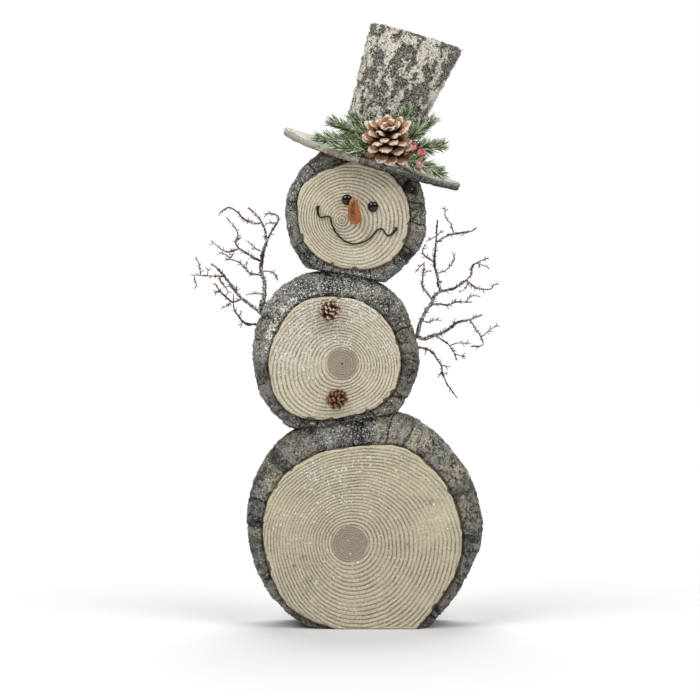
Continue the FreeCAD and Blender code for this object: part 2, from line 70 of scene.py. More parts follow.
def lattice(cells, seed):
    """A repeatable value from 0 to 1 for each whole-number cell."""
    c = cells.astype(np.int64)
    h = (c[..., 0] * 73856093) ^ (c[..., 1] * 19349663) ^ (c[..., 2] * 83492791) ^ (seed * 40503 + 977)
    h = h & 0xFFFFFFFF
    for _ in range(2):
        h = (((h >> 16) ^ h) * 0x45D9F3B) & 0xFFFFFFFF
    h = (h >> 16) ^ h
    return (h & 0xFFFFFF) / float(0xFFFFFF)


def noise(points, size, seed):
    """Smooth noise from -1 to 1 with features about size across."""
    p = points / size
    base = np.floor(p)
    f = p - base
    f = f * f * (3.0 - 2.0 * f)
    total = np.zeros(p.shape[:-1])
    for corner in itertools.product((0, 1), repeat=3):
        offset = np.array(corner)
        weight = np.prod(np.where(offset, f, 1.0 - f), axis=-1)
        total += weight * lattice(base + offset, seed)
    return 2.0 * total - 1.0


def wander(points, size, seed):
    """A smooth random step in x, y and z for each point."""
    return np.stack([noise(points, size, seed + k) for k in range(3)], axis=-1)


def fractal(points, size, seed, octaves=4, gain=0.55):
    total = np.zeros(points.shape[:-1])
    weight = 1.0
    for octave in range(octaves):
        total += weight * noise(points + 17.3 * octave, size / 2.0**octave, seed + octave)
        weight *= gain
    return total


def plates(points, size, seed):
    """Distance in units of size to the joint between scattered plates, and a value for each plate."""
    p = points / size
    base = np.floor(p)
    first = np.full(p.shape[:-1], 9.0)
    second = first.copy()
    value = np.zeros(p.shape[:-1])
    for corner in itertools.product((-1, 0, 1), repeat=3):
        cell = base + np.array(corner)
        place = cell + np.stack([lattice(cell, seed + k) for k in range(3)], axis=-1)
        d = np.linalg.norm(place - p, axis=-1)
        near = d < first
        second = np.where(near, first, np.minimum(second, d))
        value = np.where(near, lattice(cell, seed + 7), value)
        first = np.where(near, d, first)
    return (second - first) / 2.0, value


# ---------------------------------------------------------------- meshes


def inside_out(points, groups):
    """Whether the faces look inwards, told by the volume that they close."""
    volume = 0.0
    for group in groups:
        a = points[group[:, 0]]
        for k in range(1, group.shape[1] - 1):
            volume += np.einsum("ij,ij->i", a, np.cross(points[group[:, k]], points[group[:, k + 1]])).sum()
    return volume < 0


def piece(name, points, groups, material, slot, attributes=None, body="root", replaces=(), flat=False):
    """A mesh piece from points in mm and arrays of faces, riding on a body, with its outside facing out."""
    points = np.asarray(points, float).reshape(-1, 3)
    if inside_out(points, groups):
        groups = [group[:, ::-1] for group in groups]
    mesh = bpy.data.meshes.new(name)
    mesh.from_pydata((points * MM).tolist(), [], [f for group in groups for f in group.tolist()])
    mesh.polygons.foreach_set("use_smooth", np.full(len(mesh.polygons), not flat))
    for key, values in (attributes or {}).items():
        layer = mesh.attributes.new(key, "FLOAT", "POINT")
        layer.data.foreach_set("value", np.asarray(values, np.float32).ravel())
    mesh.materials.append(material)
    mesh.update()
    obj = bpy.data.objects.new(name, mesh)
    bpy.context.scene.collection.objects.link(obj)
    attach(obj, body)
    if replaces:
        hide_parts(*replaces)


def grid_faces(rows, columns, wrap, start=0):
    """Quads over a grid of points kept row by row; wrap joins the last column to the first."""
    r = np.arange(rows - 1)[:, None] * columns
    c = np.arange(columns if wrap else columns - 1)[None, :]
    d = (c + 1) % columns
    quads = np.stack([r + c, r + d, r + columns + d, r + columns + c], axis=-1)
    return quads.reshape(-1, 4) + start


def looped_faces(rows, columns, wrap):
    """Quads over a grid whose last row joins its first row too."""
    return grid_faces(rows + 1, columns, wrap) % (rows * columns)


def fan(loop, hub):
    """Triangles from a closed loop of point numbers to one hub point."""
    loop = np.asarray(loop)
    return np.stack([loop, np.roll(loop, -1), np.full(len(loop), hub)], axis=1)


def shell(rows, first=None, last=None):
    """Points and faces of a closed shell over rows of points round it, each end closed on a hub point."""
    count, sides = rows.shape[:2]
    hubs = [rows[0].mean(0) if first is None else first, rows[-1].mean(0) if last is None else last]
    hub = count * sides
    caps = np.vstack([fan(np.arange(sides)[::-1], hub), fan(np.arange(hub - sides, hub), hub + 1)])
    return np.vstack([rows.reshape(-1, 3), *hubs]), [grid_faces(count, sides, True), caps]


def drawn_in(rows):
    """A shell over rows whose first and last become its hubs."""
    return shell(rows[1:-1], rows[0].mean(0), rows[-1].mean(0))


def shell_field(rows):
    """An attribute for a drawn-in shell."""
    return np.concatenate([rows[1:-1].ravel(), [rows[0].mean(), rows[-1].mean()]])


def grid_normals(points, wrap, middle):
    """Unit normals of a grid, pointing away from middle."""
    if wrap:
        across = np.roll(points, -1, axis=1) - np.roll(points, 1, axis=1)
    else:
        across = np.gradient(points, axis=1)
    normals = np.cross(across, np.gradient(points, axis=0))
    normals /= np.maximum(np.linalg.norm(normals, axis=-1, keepdims=True), 1e-9)
    return -normals if np.einsum("ijk,ijk->", normals, points - middle) < 0 else normals


def at_compass(centre, radius, y, angles):
    """Points at a radius and compass angle round an (x, z) centre."""
    x = centre[0] + radius * np.cos(angles)
    z = centre[1] + radius * np.sin(angles)
    return np.stack([x, np.broadcast_to(y, x.shape), z], axis=-1)


def cad_tree(name):
    """A search tree over a CAD node, in mm."""
    mesh = NODES[name].data
    return BVHTree.FromPolygons([v.co / MM for v in mesh.vertices], [list(p.vertices) for p in mesh.polygons])


def cad_points(name):
    mesh = NODES[name].data
    co = np.zeros(len(mesh.vertices) * 3)
    mesh.vertices.foreach_get("co", co)
    return co.reshape(-1, 3) / MM


def outline(tree, centre, y, angles):
    """Distance from centre (x, z) to the CAD surface at each compass angle, found from outside."""
    found = []
    for angle in angles:
        way = Vector((math.cos(angle), 0.0, math.sin(angle)))
        start = Vector((centre[0], y, centre[1])) + way * FAR
        hit = tree.ray_cast(start, -way)
        found.append(FAR - hit[3] if hit[0] is not None else np.nan)
    found = np.array(found)
    bad = np.isnan(found)
    if bad.any():
        found[bad] = np.interp(angles[bad], angles[~bad], found[~bad])
    return found


def unit(v):
    v = np.asarray(v, float)
    return v / np.linalg.norm(v)


def curve_points(points, step):
    """Catmull-Rom curve through the points, at even steps."""
    p = np.asarray(points, float)
    if len(p) == 2:
        count = max(int(np.linalg.norm(p[1] - p[0]) / step), 2)
        return p[0] + (p[1] - p[0]) * np.linspace(0, 1, count + 1)[:, None]
    ends = np.vstack([2 * p[0] - p[1], p, 2 * p[-1] - p[-2]])
    out = []
    for i in range(1, len(ends) - 2):
        a, b, c, d = ends[i - 1 : i + 3]
        count = max(int(np.linalg.norm(c - b) / step), 2)
        t = np.linspace(0, 1, count, endpoint=False)[:, None]
        bend = (2 * a - 5 * b + 4 * c - d) * t**2 + (3 * b - a - 3 * c + d) * t**3
        out.append(0.5 * (2 * b + (c - a) * t + bend))
    return np.vstack(out + [p[-1:]])


def tube(line, radii, sides, turn=0.0):
    """Points and faces of a closed round tube along a line, with pointed caps."""
    line = np.asarray(line, float)
    ways = np.gradient(line, axis=0)
    ways /= np.maximum(np.linalg.norm(ways, axis=1, keepdims=True), 1e-9)
    side = np.cross(ways[0], (0.31, 0.2, 0.93))
    if np.linalg.norm(side) < 0.1:
        side = np.cross(ways[0], (0.9, 0.1, 0.3))
    rings = []
    angles = turn + turns(sides)
    for at, way, radius in zip(line, ways, radii):
        side = unit(side - way * np.dot(side, way))
        over = np.cross(way, side)
        rings.append(at + radius * (np.cos(angles)[:, None] * side + np.sin(angles)[:, None] * over))
    first = line[0] - ways[0] * radii[0] * 0.4
    last = line[-1] + ways[-1] * radii[-1] * 0.4
    return shell(np.array(rings), first, last)


class Pile:
    """Gathers closed shells into one mesh, with attributes kept per point."""

    def __init__(self):
        self.points = []
        self.faces = {}
        self.values = {}
        self.count = 0

    def add(self, points, groups, **values):
        turned = inside_out(points, groups)
        for group in groups:
            group = group[:, ::-1] if turned else group
            self.faces.setdefault(group.shape[1], []).append(group + self.count)
        self.points.append(points)
        for key, value in values.items():
            self.values.setdefault(key, []).append(np.broadcast_to(value, len(points)))
        self.count += len(points)

    def build(self, name, material, slot, **settings):
        faces = [np.vstack(group) for group in self.faces.values()]
        values = {key: np.concatenate(parts) for key, parts in self.values.items()}
        piece(name, np.vstack(self.points), faces, material, slot, values, **settings)


# ---------------------------------------------------------------- materials


def tone(red, green, blue):
    """A colour given as 0 to 255 screen values."""
    out = []
    for value in (red, green, blue):
        c = value / 255.0
        out.append(c / 12.92 if c <= 0.04045 else ((c + 0.055) / 1.055) ** 2.4)
    return (*out, 1.0)


def scaled(colour, gain):
    return [min(c * gain, 255) for c in colour]


class Look:
    """A node material being built. Its colours are 0 to 255 screen values."""

    def __init__(self, name, roughness=0.8, **principled):
        self.material = bpy.data.materials.new(name)
        self.material.use_nodes = True
        self.tree = self.material.node_tree
        self.shader = self.tree.nodes["Principled BSDF"]
        self.put(self.shader, {"Roughness": roughness})
        self.put(self.shader, {key.replace("_", " "): value for key, value in principled.items()})
        self.place = self.node("TexCoord").outputs["Object"]

    def put(self, node, inputs):
        for key, value in inputs.items():
            if hasattr(value, "is_output"):
                self.tree.links.new(value, node.inputs[key])
            else:
                node.inputs[key].default_value = value
        return node

    def node(self, kind, inputs=None, **settings):
        n = self.tree.nodes.new("ShaderNode" + kind)
        for key, value in settings.items():
            setattr(n, key, value)
        return self.put(n, inputs or {})

    def attribute(self, name):
        return self.node("Attribute", attribute_name=name).outputs["Fac"]

    def noise(self, size, detail=3.0, rough=0.6, warp=0.0, stretch=None):
        """Noise from about 0 to 1 with features about size mm across."""
        place = self.place
        if stretch:
            place = self.node("Mapping", {"Vector": place, "Scale": stretch}).outputs[0]
        inputs = {"Vector": place, "Scale": 1.0 / (size * MM), "Detail": detail, "Roughness": rough}
        return self.node("TexNoise", {**inputs, "Distortion": warp}).outputs["Fac"]

    def step(self, value, low, high):
        """0 below low and 1 above high, with an even curve between; low may be the larger."""
        inputs = {"Value": value, "From Min": low, "From Max": high}
        if low > high:
            inputs.update({"From Min": high, "From Max": low, "To Min": 1.0, "To Max": 0.0})
        return self.node("MapRange", inputs, interpolation_type="SMOOTHSTEP").outputs[0]

    def math(self, kind, a, b=0.0, c=0.0):
        return self.node("Math", {0: a, 1: b, 2: c}, operation=kind).outputs[0]

    def sum(self, *terms):
        return functools.reduce(lambda a, b: self.math("ADD", a, b), terms)

    def times(self, *terms):
        return functools.reduce(lambda a, b: self.math("MULTIPLY", a, b), terms)

    def line(self, value, gain, offset):
        return self.math("MULTIPLY_ADD", value, gain, offset)

    def mix(self, factor, a, b):
        return self.node("Mix", {0: factor, 6: a, 7: b}, data_type="RGBA").outputs[2]

    def over(self, base, factor, colour):
        """A colour laid over base by factor."""
        return self.mix(factor, base, tone(*colour))

    def ramp(self, factor, *stops):
        """Colour ramp from (position, colour) stops."""
        n = self.node("ValToRGB", {"Fac": factor})
        while len(n.color_ramp.elements) < len(stops):
            n.color_ramp.elements.new(0.5)
        for element, (position, colour) in zip(n.color_ramp.elements, stops):
            element.position = position
            element.color = tone(*colour)
        return n.outputs[0]

    def finish(self, colour, height, depth):
        """The material, with a bump where height 0 to 1 is worth depth mm."""
        bump = self.node("Bump", {"Height": height, "Distance": depth * MM, "Strength": 1.0}).outputs[0]
        self.put(self.shader, {"Base Color": colour, "Normal": bump})
        return self.material


def sawn_disc_look(name, cream, pith, groove, dot):
    """Ring-grown end grain; the ring attribute counts rings out from the pith."""
    look = Look(name, 0.85)
    wander = look.sum(look.times(look.noise(8.0, 2.0), 0.24), look.line(look.noise(2.6, 2.0), 0.20, -0.22))
    wave = look.math("FRACT", look.sum(look.attribute("ring"), wander))
    dark = look.step(look.math("ABSOLUTE", look.math("SUBTRACT", wave, 0.5)), 0.25, 0.07)
    broken = look.line(look.step(look.noise(3.0, 4.0, 0.75), 0.38, 0.56), 0.6, 0.4)
    dark = look.times(dark, look.attribute("groove"), broken)
    fine = look.noise(1.6, 4.0, 0.75)
    clean = look.line(look.attribute("pith"), -0.7, 1.0)
    base = look.ramp(look.noise(22.0, 3.0), (0.3, scaled(cream, 0.95)), (0.7, scaled(cream, 1.04)))
    base = look.over(base, look.attribute("pith"), pith)
    base = look.over(base, look.times(dark, 0.8), groove)
    base = look.over(base, look.times(look.step(fine, 0.49, 0.62), 0.38, clean), scaled(cream, 0.66))
    base = look.over(base, look.times(look.step(fine, 0.5, 0.38), 0.55, clean), scaled(cream, 1.14))
    base = look.over(base, look.times(look.step(look.noise(2.6, 2.0, 0.5), 0.70, 0.76), 0.6), (106, 94, 78))
    base = look.over(base, look.attribute("stain"), dot)
    white = look.sum(look.noise(2.2, 3.0, 0.7), look.line(look.attribute("dust"), 0.25, -0.23))
    base = look.over(base, look.times(look.step(white, 0.54, 0.60), 0.65), (236, 234, 226))
    return look.finish(base, look.sum(look.times(fine, 0.5), look.times(dark, -0.9)), 0.7)


def bark_look(name, dark, middle, light, beige):
    look = Look(name, 0.92)
    grain = look.noise(1.7, 4.0, 0.8)
    crumbs = look.noise(3.6, 4.0, 0.7, 0.8)
    broad = look.noise(16.0, 2.0)
    level = look.sum(look.times(grain, 0.5), look.times(crumbs, 0.5))
    # lift is painted shade and light: darker where the bark sinks and lighter where it stands out, with a tone
    # for each facet; on the brim's strip it is a painted highlight along the top.
    level = look.sum(level, look.line(look.attribute("lift"), 0.085, -0.035), look.line(broad, 0.06, -0.03))
    base = look.ramp(level, (0.41, dark), (0.50, middle), (0.60, light))
    tan = look.step(look.sum(crumbs, look.times(grain, 0.5)), 0.68, 0.8)
    base = look.over(base, look.times(look.attribute("patch"), tan), beige)
    base = look.over(base, look.times(look.step(broad, 0.5, 0.7), 0.14), (96, 84, 66))
    base = look.over(base, look.times(look.attribute("inner"), 0.8), (92, 66, 44))
    # crack: the dark of real cracks, with painted shade beside the wood, at the seats and floor, and under the
    # brim's strip.
    base = look.over(base, look.times(look.attribute("crack"), 0.9), (24, 22, 20))
    spark = look.step(look.noise(1.6, 3.0, 0.6), 0.53, 0.60)
    base = look.over(base, look.times(look.attribute("frost"), spark, 0.85), (218, 218, 214))
    return look.finish(base, look.sum(look.times(grain, 0.8), crumbs), 1.5)


def snow_look():
    look = Look("snow_grains", 0.45)
    colour = look.ramp(look.noise(3.0), (0.3, (208, 206, 198)), (0.7, (246, 245, 240)))
    return look.finish(colour, look.noise(0.4), 0.1)


SNOW = snow_look()
STAIN = (80, 70, 55)
DISC = sawn_disc_look("sawn_end_grain", (206, 196, 172), (155, 142, 125), (101, 91, 75), STAIN)
# The lower slice's wood is the same end grain painted darker: painted shade for the light falling off towards
# the floor.
SHADED_LOWER_DISC = sawn_disc_look("sawn_end_grain_painted_shade", (193, 183, 158), (154, 142, 125), (96, 84, 67), STAIN)
BARK = bark_look("log_bark_rough", (42, 40, 36), (96, 93, 86), (148, 145, 136), (176, 167, 144))


# ---------------------------------------------------------------- snow grains

OCTAHEDRON = np.array([(1, 0, 0), (-1, 0, 0), (0, 1, 0), (0, -1, 0), (0, 0, 1), (0, 0, -1)], float)
OCTAHEDRON_FACES = np.array(
    [(0, 2, 4), (2, 1, 4), (1, 3, 4), (3, 0, 4), (2, 0, 5), (1, 2, 5), (3, 1, 5), (0, 3, 5)]
)


def grains(name, places, normals, low, high, seed, slot, body="root"):
    """Little crystals lying on a surface, each squashed along its normal and turned at random."""
    random = np.random.default_rng(seed)
    count = len(places)
    size = low + (high - low) * random.random(count) ** 2.2
    turn = random.random(count) * 2 * math.pi
    side = np.cross(normals, random.normal(size=(count, 3)))
    side /= np.linalg.norm(side, axis=1, keepdims=True)
    over = np.cross(normals, side)
    shape = np.stack([size * (0.7 + 0.9 * random.random(count)), size, size * 0.55], axis=1) * 0.5
    local = OCTAHEDRON[None] * shape[:, None, :]
    c, s = np.cos(turn)[:, None], np.sin(turn)[:, None]
    x = local[..., 0] * c - local[..., 1] * s
    y = local[..., 0] * s + local[..., 1] * c
    points = places[:, None, :] + x[..., None] * side[:, None] + y[..., None] * over[:, None]
    points = points + (local[..., 2] + size[:, None] * 0.12)[..., None] * normals[:, None]
    faces = OCTAHEDRON_FACES[None] + (np.arange(count) * 6)[:, None, None]
    piece(name, points, [faces.reshape(-1, 3)], SNOW, slot, body=body, flat=True)


# ---------------------------------------------------------------- log slices


def seat_plane(dowel, top_of):
    """A seat's plane as (point, upward normal), from the dowel that crosses it and the piece below it."""
    points = cad_points(dowel)
    normal = np.linalg.svd(points - points.mean(0), full_matrices=False)[2][0]
    if normal[2] < 0:
        normal = -normal
    return normal * (cad_points(top_of) @ normal).max(), normal


# Depths across a slice: one clear of every hole, and the two ends of the stretch that is drilled.
CLEAR_OF_HOLES = 30.0
DRILLED = (-15.0, 8.0)
FLOOR = (np.zeros(3), np.array((0.0, 0.0, 1.0)))
WAIST = seat_plane("waist_dowel_left", "lower_slice_bark")
NECK = seat_plane("neck_dowel_left", "middle_slice_bark")
HAT_SEAT = seat_plane("hat_dowel_left", "head_slice_bark")


def below(plane):
    return plane[0], -plane[1]


def spots(points, table, far, near, ragged=0.0):
    """The strongest of some round spots (x, z, reach, amount) at each point."""
    total = np.zeros(points.shape[:-1])
    for x, z, reach, amount in table:
        away = np.hypot(points[..., 0] - x, points[..., 2] - z) / reach
        total = np.maximum(total, amount * smooth(far, near, away + ragged))
    return total


# Distances between the rows round the bark's section.
FRONT_STEP, SIDE_STEP, BACK_STEP = 0.85, 2.0, 2.4


def profile_rows():
    """Rows round the bark's section as (y, share of the front face, share of the back face)."""
    corners = ((0.12, -38.5), (0.5, -35.5), (0.84, -30.0), (1.0, -22.0))
    width = 22.0
    rows = [(BARK_FRONT, f, None) for f in np.linspace(0, 1, 4)[:-1]]
    ys = [BARK_FRONT + 0.05]
    for (share_a, y_a), (share_b, y_b) in zip(corners, corners[1:]):
        length = math.hypot((share_b - share_a) * width, y_b - y_a)
        count = max(int(round(length / FRONT_STEP)), 1)
        ys += list(y_a + (y_b - y_a) * np.arange(1, count + 1) / count)
    ys += list(np.linspace(-22.0, 34.0, int(56 / SIDE_STEP) + 1)[1:])
    ys += list(np.linspace(34.0, SLICE_BACK - 0.05, 5)[1:])
    rows += [(y, None, None) for y in ys]
    rows += [(SLICE_BACK, None, f) for f in np.linspace(1, 0, int(19 / BACK_STEP) + 1)[1:]]
    return rows


def ring_surface(node, wood, centre, columns):
    """The CAD ring as a grid, rows round its section and columns round the log: the angles, the radii,
    the wood's radii, the points, and whether the ring goes all the way round."""
    tree = cad_tree(node)
    angles = turns(columns) - math.pi / 2
    inside = outline(cad_tree(wood), centre, CLEAR_OF_HOLES, angles)
    drilled = [outline(tree, centre, y, angles) for y in DRILLED]
    rows = profile_rows()
    radii = []
    for y, front, back in rows:
        y = min(max(y, BARK_FRONT + 0.05), SLICE_BACK - 0.05)
        if DRILLED[0] < y < DRILLED[1]:
            across = (y - DRILLED[0]) / (DRILLED[1] - DRILLED[0])
            full = drilled[0] + across * (drilled[1] - drilled[0])
        else:
            full = outline(tree, centre, y, angles)
        full = np.maximum(full, inside + 0.02)
        share = front if front is not None else back
        radii.append(full if share is None else inside + share * (full - inside))
    radii = np.array(radii)
    keep = radii.max(0) - inside > 0.5
    if not keep.all():
        gap = np.flatnonzero(~keep)
        order = np.roll(np.arange(columns), -gap[len(gap) // 2])
        order = order[keep[order]]
        angles, radii, inside = np.unwrap(angles[order]), radii[:, order], inside[order]
    y = np.array([row[0] for row in rows])[:, None]
    return angles, radii, inside, at_compass(centre, radii, y, angles), bool(keep.all())


PLATE_SIZE = 33.0
FACET_SIZE = 13.0


def bark_relief(base, drum, from_wood, seed):
    """How far the bark stands out, the tone of its facets, and how cracked it is, which also holds painted
    shade beside the wood. It sinks beside the wood.
    """
    joint, value = plates(drum, PLATE_SIZE, seed)
    joint = joint * PLATE_SIZE
    open_joint = smooth(-0.15, 0.2, noise(drum, 38.0, seed + 3))
    crack = smooth(0.95, 0.15, joint) * open_joint
    shoulder = smooth(2.6, 0.0, joint) * open_joint
    flakes = smooth(-0.1, 0.12, noise(drum, 9.0, seed + 6) + 0.5 * noise(base, 3.2, seed + 7))
    chink, facet = plates(drum + 1.6 * noise(base, 4.0, seed + 8)[..., None], FACET_SIZE, seed + 9)
    crease = smooth(0.5, 0.08, chink * FACET_SIZE) * smooth(-0.1, 0.4, noise(base, 11.0, seed + 10))
    beside_wood = np.exp(-((from_wood / 2.2) ** 2)) * (base[..., 1] < -30)
    push = (value - 0.5) * 0.6 + 0.75 * fractal(base, 5.2, seed + 5, 4, 0.8) + 0.8 * (flakes - 0.5)
    push = push + 0.4 * noise(base, 24.0, seed + 11) + (facet - 0.5) * 0.9
    push = push - crack * 2.2 - shoulder * 0.4 - crease - beside_wood * (1.0 + noise(base, 5.0, seed + 13))
    return push, facet, crack + 0.75 * crease + beside_wood * 0.35


def kept_clear(points, angles, inside, centre, planes):
    """Bark points moved out of the wood, out of the seats and floor, and back between the slice's faces."""
    flat_radius = np.hypot(points[..., 0] - centre[0], points[..., 2] - centre[1])
    points = points + at_compass((0, 0), np.maximum(inside + 0.02 - flat_radius, 0.0), 0.0, angles)
    for point, normal in planes:
        points = points - np.minimum((points - point) @ normal, 0.0)[..., None] * normal
    points[..., 1] = np.clip(points[..., 1], BARK_FRONT - 2.2, SLICE_BACK + 1.0)
    return points


def ring_shell(points, wrap):
    """Points and faces of a ring of bark, with a cap on each end of one that has a gap in it."""
    rows, columns = points.shape[:2]
    faces = [looped_faces(rows, columns, wrap)]
    points = points.reshape(-1, 3)
    if not wrap:
        ends = [np.arange(rows) * columns, (np.arange(1, rows + 1) * columns - 1)[::-1]]
        faces.append(np.vstack([fan(end, rows * columns + k) for k, end in enumerate(ends)]))
        points = np.vstack([points] + [points[end].mean(0) for end in ends])
    return points, faces


def bark_ring(name, node, wood, centre, columns, planes, seed, patches, frosts):
    """Bark round a slice: the CAD ring's surface, broken into plates and roughened. planes are
    (point, normal) with the ring on the side the normal points to."""
    angles, radii, inside, base, wrap = ring_surface(node, wood, centre, columns)
    y = base[..., 1]
    normals = grid_normals(base, wrap, np.array((centre[0], 0.0, centre[1])))

    # Plates run along the log, so their joints keep one compass angle across the front.
    outer = radii.max(0)
    drum = at_compass(centre, 0.5 * (outer + outer.mean()) + 0 * radii, y * 0.4, angles)
    drum = drum + 3.0 * wander(base, 11.0, seed + 20)
    from_wood = radii - inside
    push, facet, cracks_and_shade = bark_relief(base, drum, from_wood, seed)

    # The seats, the floor and the wood's side stay where they are.
    clear = np.min([(base - point) @ normal for point, normal in planes], axis=0)
    push = push * smooth(0.0, 0.8, clear)
    push = np.where(from_wood < 0.4, np.where(y > -30, 0.0, np.minimum(push, 0.4)), push)
    points = kept_clear(base + normals * push[..., None], angles, inside, centre, planes)

    patch = spots(base, patches, 1.25, 0.5, 0.35 * noise(base, 9.0, seed + 31))
    frost = spots(base, frosts, 1.3, 0.3)
    inner = np.exp(-(((from_wood - 1.6) / 0.9) ** 2)) * (y < -36)
    fields = {
        # crack holds the dark of the real cracks and creases, and painted shade beside the wood's front and
        # within 1.4 mm of the seats and the floor.
        "crack": np.clip(cracks_and_shade + 0.2 * smooth(1.4, 0.0, clear), 0, 1),
        # Painted shade and light: darker where the bark sinks, lighter where it stands out, plus a tone for
        # each facet.
        "lift": np.clip(0.5 + 0.6 * push + 0.7 * (facet - 0.5), -0.7, 1.7),
        "patch": np.maximum(patch, 0.5 * smooth(0.3, 0.65, noise(drum, 16.0, seed + 33))),
        "inner": inner * smooth(-0.1, 0.3, np.cos(angles - math.radians(-35))),
        "frost": frost,
    }
    shell_points, faces = ring_shell(points, wrap)
    on_caps = np.zeros(len(shell_points) - radii.size)
    fields = {key: np.concatenate([value.ravel(), on_caps]) for key, value in fields.items()}
    piece(name, shell_points, faces, BARK, "log_bark", fields, replaces=(node,))
    return points, normals, frost, y


def round_reach(angles, reach, whole):
    """The outline as a smooth round, fitted where it is whole, so that a flat cut crosses the rings."""
    waves = [np.ones_like(angles)]
    for turn in (1, 2, 3):
        waves += [np.cos(turn * angles), np.sin(turn * angles)]
    waves = np.stack(waves, axis=1)
    pull = np.diag([0.0] + [0.02 * turn**2 for turn in (1, 1, 2, 2, 3, 3)]) * whole.sum() * 0.02
    fit = np.linalg.solve(waves[whole].T @ waves[whole] + pull, waves[whole].T @ reach[whole])
    return waves @ fit


RING_WIDTH_IN_PITH = 2.5
BACK_ROWS = 24


def rim_chips(rim, seed, on_floor):
    """How far the rim is chipped away, except where the slice stands on the floor."""
    chip = 0.8 * np.abs(noise(rim, 3.0, seed)) + 1.8 * smooth(0.4, 0.75, noise(rim, 6.0, seed + 1))
    chip = chip + 1.6 * np.abs(noise(rim, 15.0, seed + 21))
    return chip * (smooth(1.0, 2.5, rim[:, 2]) if on_floor else 1.0)


def ring_strength(flat, edge_gap, blur, seed):
    """How strongly the rings show: unevenly, less in the blurred spots and not at all on the rim."""
    strength = np.clip(0.86 + 0.30 * fractal(flat, 14.0, seed + 6, 2), 0.35, 1.0)
    for spot in blur:
        strength = strength * (1 - spots(flat, (spot,), 1.3, 0.3))
    return strength * smooth(0.3, 2.6, edge_gap + 1.4 * noise(flat, 9.0, seed + 8))


def wood_disc(name, node, material, pith, pith_radius, columns, rows, counts, seed, blur, stains, dusts,
              on_floor=False, faint_core=False):
    """A sawn slice: rings stand out from the pith as scaled copies of the outline. counts are the
    rings below and above the pith."""
    angles = turns(columns)
    reach = outline(cad_tree(node), pith, CLEAR_OF_HOLES, angles)
    rim = at_compass(pith, reach, 0.0, angles)
    front_reach = reach - rim_chips(rim, seed, on_floor)
    radius = (np.linspace(0, 1, rows) ** 0.94)[:, None] * front_reach
    flat = at_compass(pith, radius, 0.0, angles)

    # The ring number at each point, and how far it stands from the nearest groove.
    below_pith, above_pith = counts
    total = 0.5 * (below_pith + above_pith) + 0.5 * (above_pith - below_pith) * np.sin(angles)
    ring_reach = round_reach(angles, reach, rim[:, 2] > 8.0)
    core, out = pith_radius / ring_reach, radius / ring_reach
    core_rings = pith_radius / RING_WIDTH_IN_PITH
    warp = 0.010 * fractal(flat, 30.0, seed + 2, 3) + 0.0028 * noise(flat, 7.0, seed + 4)
    phase = np.where(out < core, out / core * core_rings, core_rings + (out - core) / (1 - core) * total)
    phase = phase + warp * total * smooth(0.0, 0.15, out)
    depth = smooth(0.27, 0.02, np.abs(phase - np.floor(phase) - 0.5))
    edge_gap = front_reach - radius
    in_core = smooth(pith_radius + 0.8, pith_radius - 0.8, radius + 1.2 * noise(flat, 8.0, seed + 9))
    strength = ring_strength(flat, edge_gap, blur, seed) * (1 - (0.0 if faint_core else 0.45) * in_core)

    lift = 0.22 * fractal(flat, 2.6, seed + 12, 3, 0.8) + 0.3 * noise(flat, 25.0, seed + 15)
    lift = lift - 0.55 * depth * strength
    y = WOOD_FRONT - np.minimum(lift, 0.4) + 1.3 * np.exp(-((edge_gap / 0.9) ** 2))
    front = at_compass(pith, radius, y, angles)
    stain = spots(flat, stains, 1.2, 0.4, 0.3 * noise(flat, 2.5, seed + 18))
    dust = spots(flat, dusts, 1.0, 0.0)

    # Behind the chipped rim a brown ledge keeps the true outline, and the back is sawn flat.
    ledge = [at_compass(pith, reach, WOOD_FRONT + 3.2, angles),
             at_compass(pith, np.minimum(front_reach + 0.3, reach), WOOD_FRONT + 2.6, angles)]
    back_share = np.linspace(0.0, 1.0, BACK_ROWS)[:, None]
    back_radius = back_share * reach
    back = at_compass(pith, back_radius, SLICE_BACK, angles)
    back_phase = core_rings + np.maximum(back_radius / ring_reach - core, 0) / (1 - core) * total
    back_core = smooth(pith_radius + 0.8, pith_radius - 0.8, back_radius)

    # Rows run from the back's middle out to its rim, up the side and in over the front.
    none, blank = np.zeros((2, columns)), np.zeros((BACK_ROWS, columns))
    core_share = 0.15 if faint_core else 1.0
    fields = {
        "ring": (back_phase, none, phase),
        "groove": (0.9 * smooth(1.0, 0.95, back_share) + blank, none, strength),
        "pith": (back_core * core_share, none, in_core * core_share),
        "stain": (blank, none + 0.9, stain),
        "dust": (blank, none, dust),
    }
    fields = {key: shell_field(np.concatenate([a, b, c[::-1]])) for key, (a, b, c) in fields.items()}
    points, faces = drawn_in(np.concatenate([back, ledge, front[::-1]]))
    piece(name, points, faces, material, "sawn_wood", fields, replaces=(node,))


wood_disc("lower_slice_disc", "lower_slice_wood", SHADED_LOWER_DISC, (-18.0, 86.0), 18.0, 430, 205, (20, 26), 11,
          ((62, 104, 20, 0.75), (75, 118, 18, 0.5), (-18, 20, 14, 0.5), (-78, 100, 24, 0.45),
           (44, 150, 26, 0.35)),
          ((63, 128, 3.5, 0.35), (-66, 72, 4, 0.3), (-74, 64, 2, 0.7), (-60, 50, 4, 0.25), (40, 86, 1.5, 0.6)),
          ((-46, 158, 46, 0.95), (-85, 118, 40, 0.6), (10, 180, 40, 0.5)), on_floor=True)
wood_disc("middle_slice_disc", "middle_slice_wood", DISC, (-26.0, 267.0), 15.4, 420, 170, (12, 18), 23,
          ((-60, 262, 14, 0.4),), ((-26, 267, 1.4, 0.9), (30, 240, 2, 0.6), (30, 252, 1.5, 0.5)),
          ((-62, 295, 60, 1.0), (-80, 270, 45, 0.9), (-20, 322, 60, 0.75), (15, 290, 45, 0.55)))
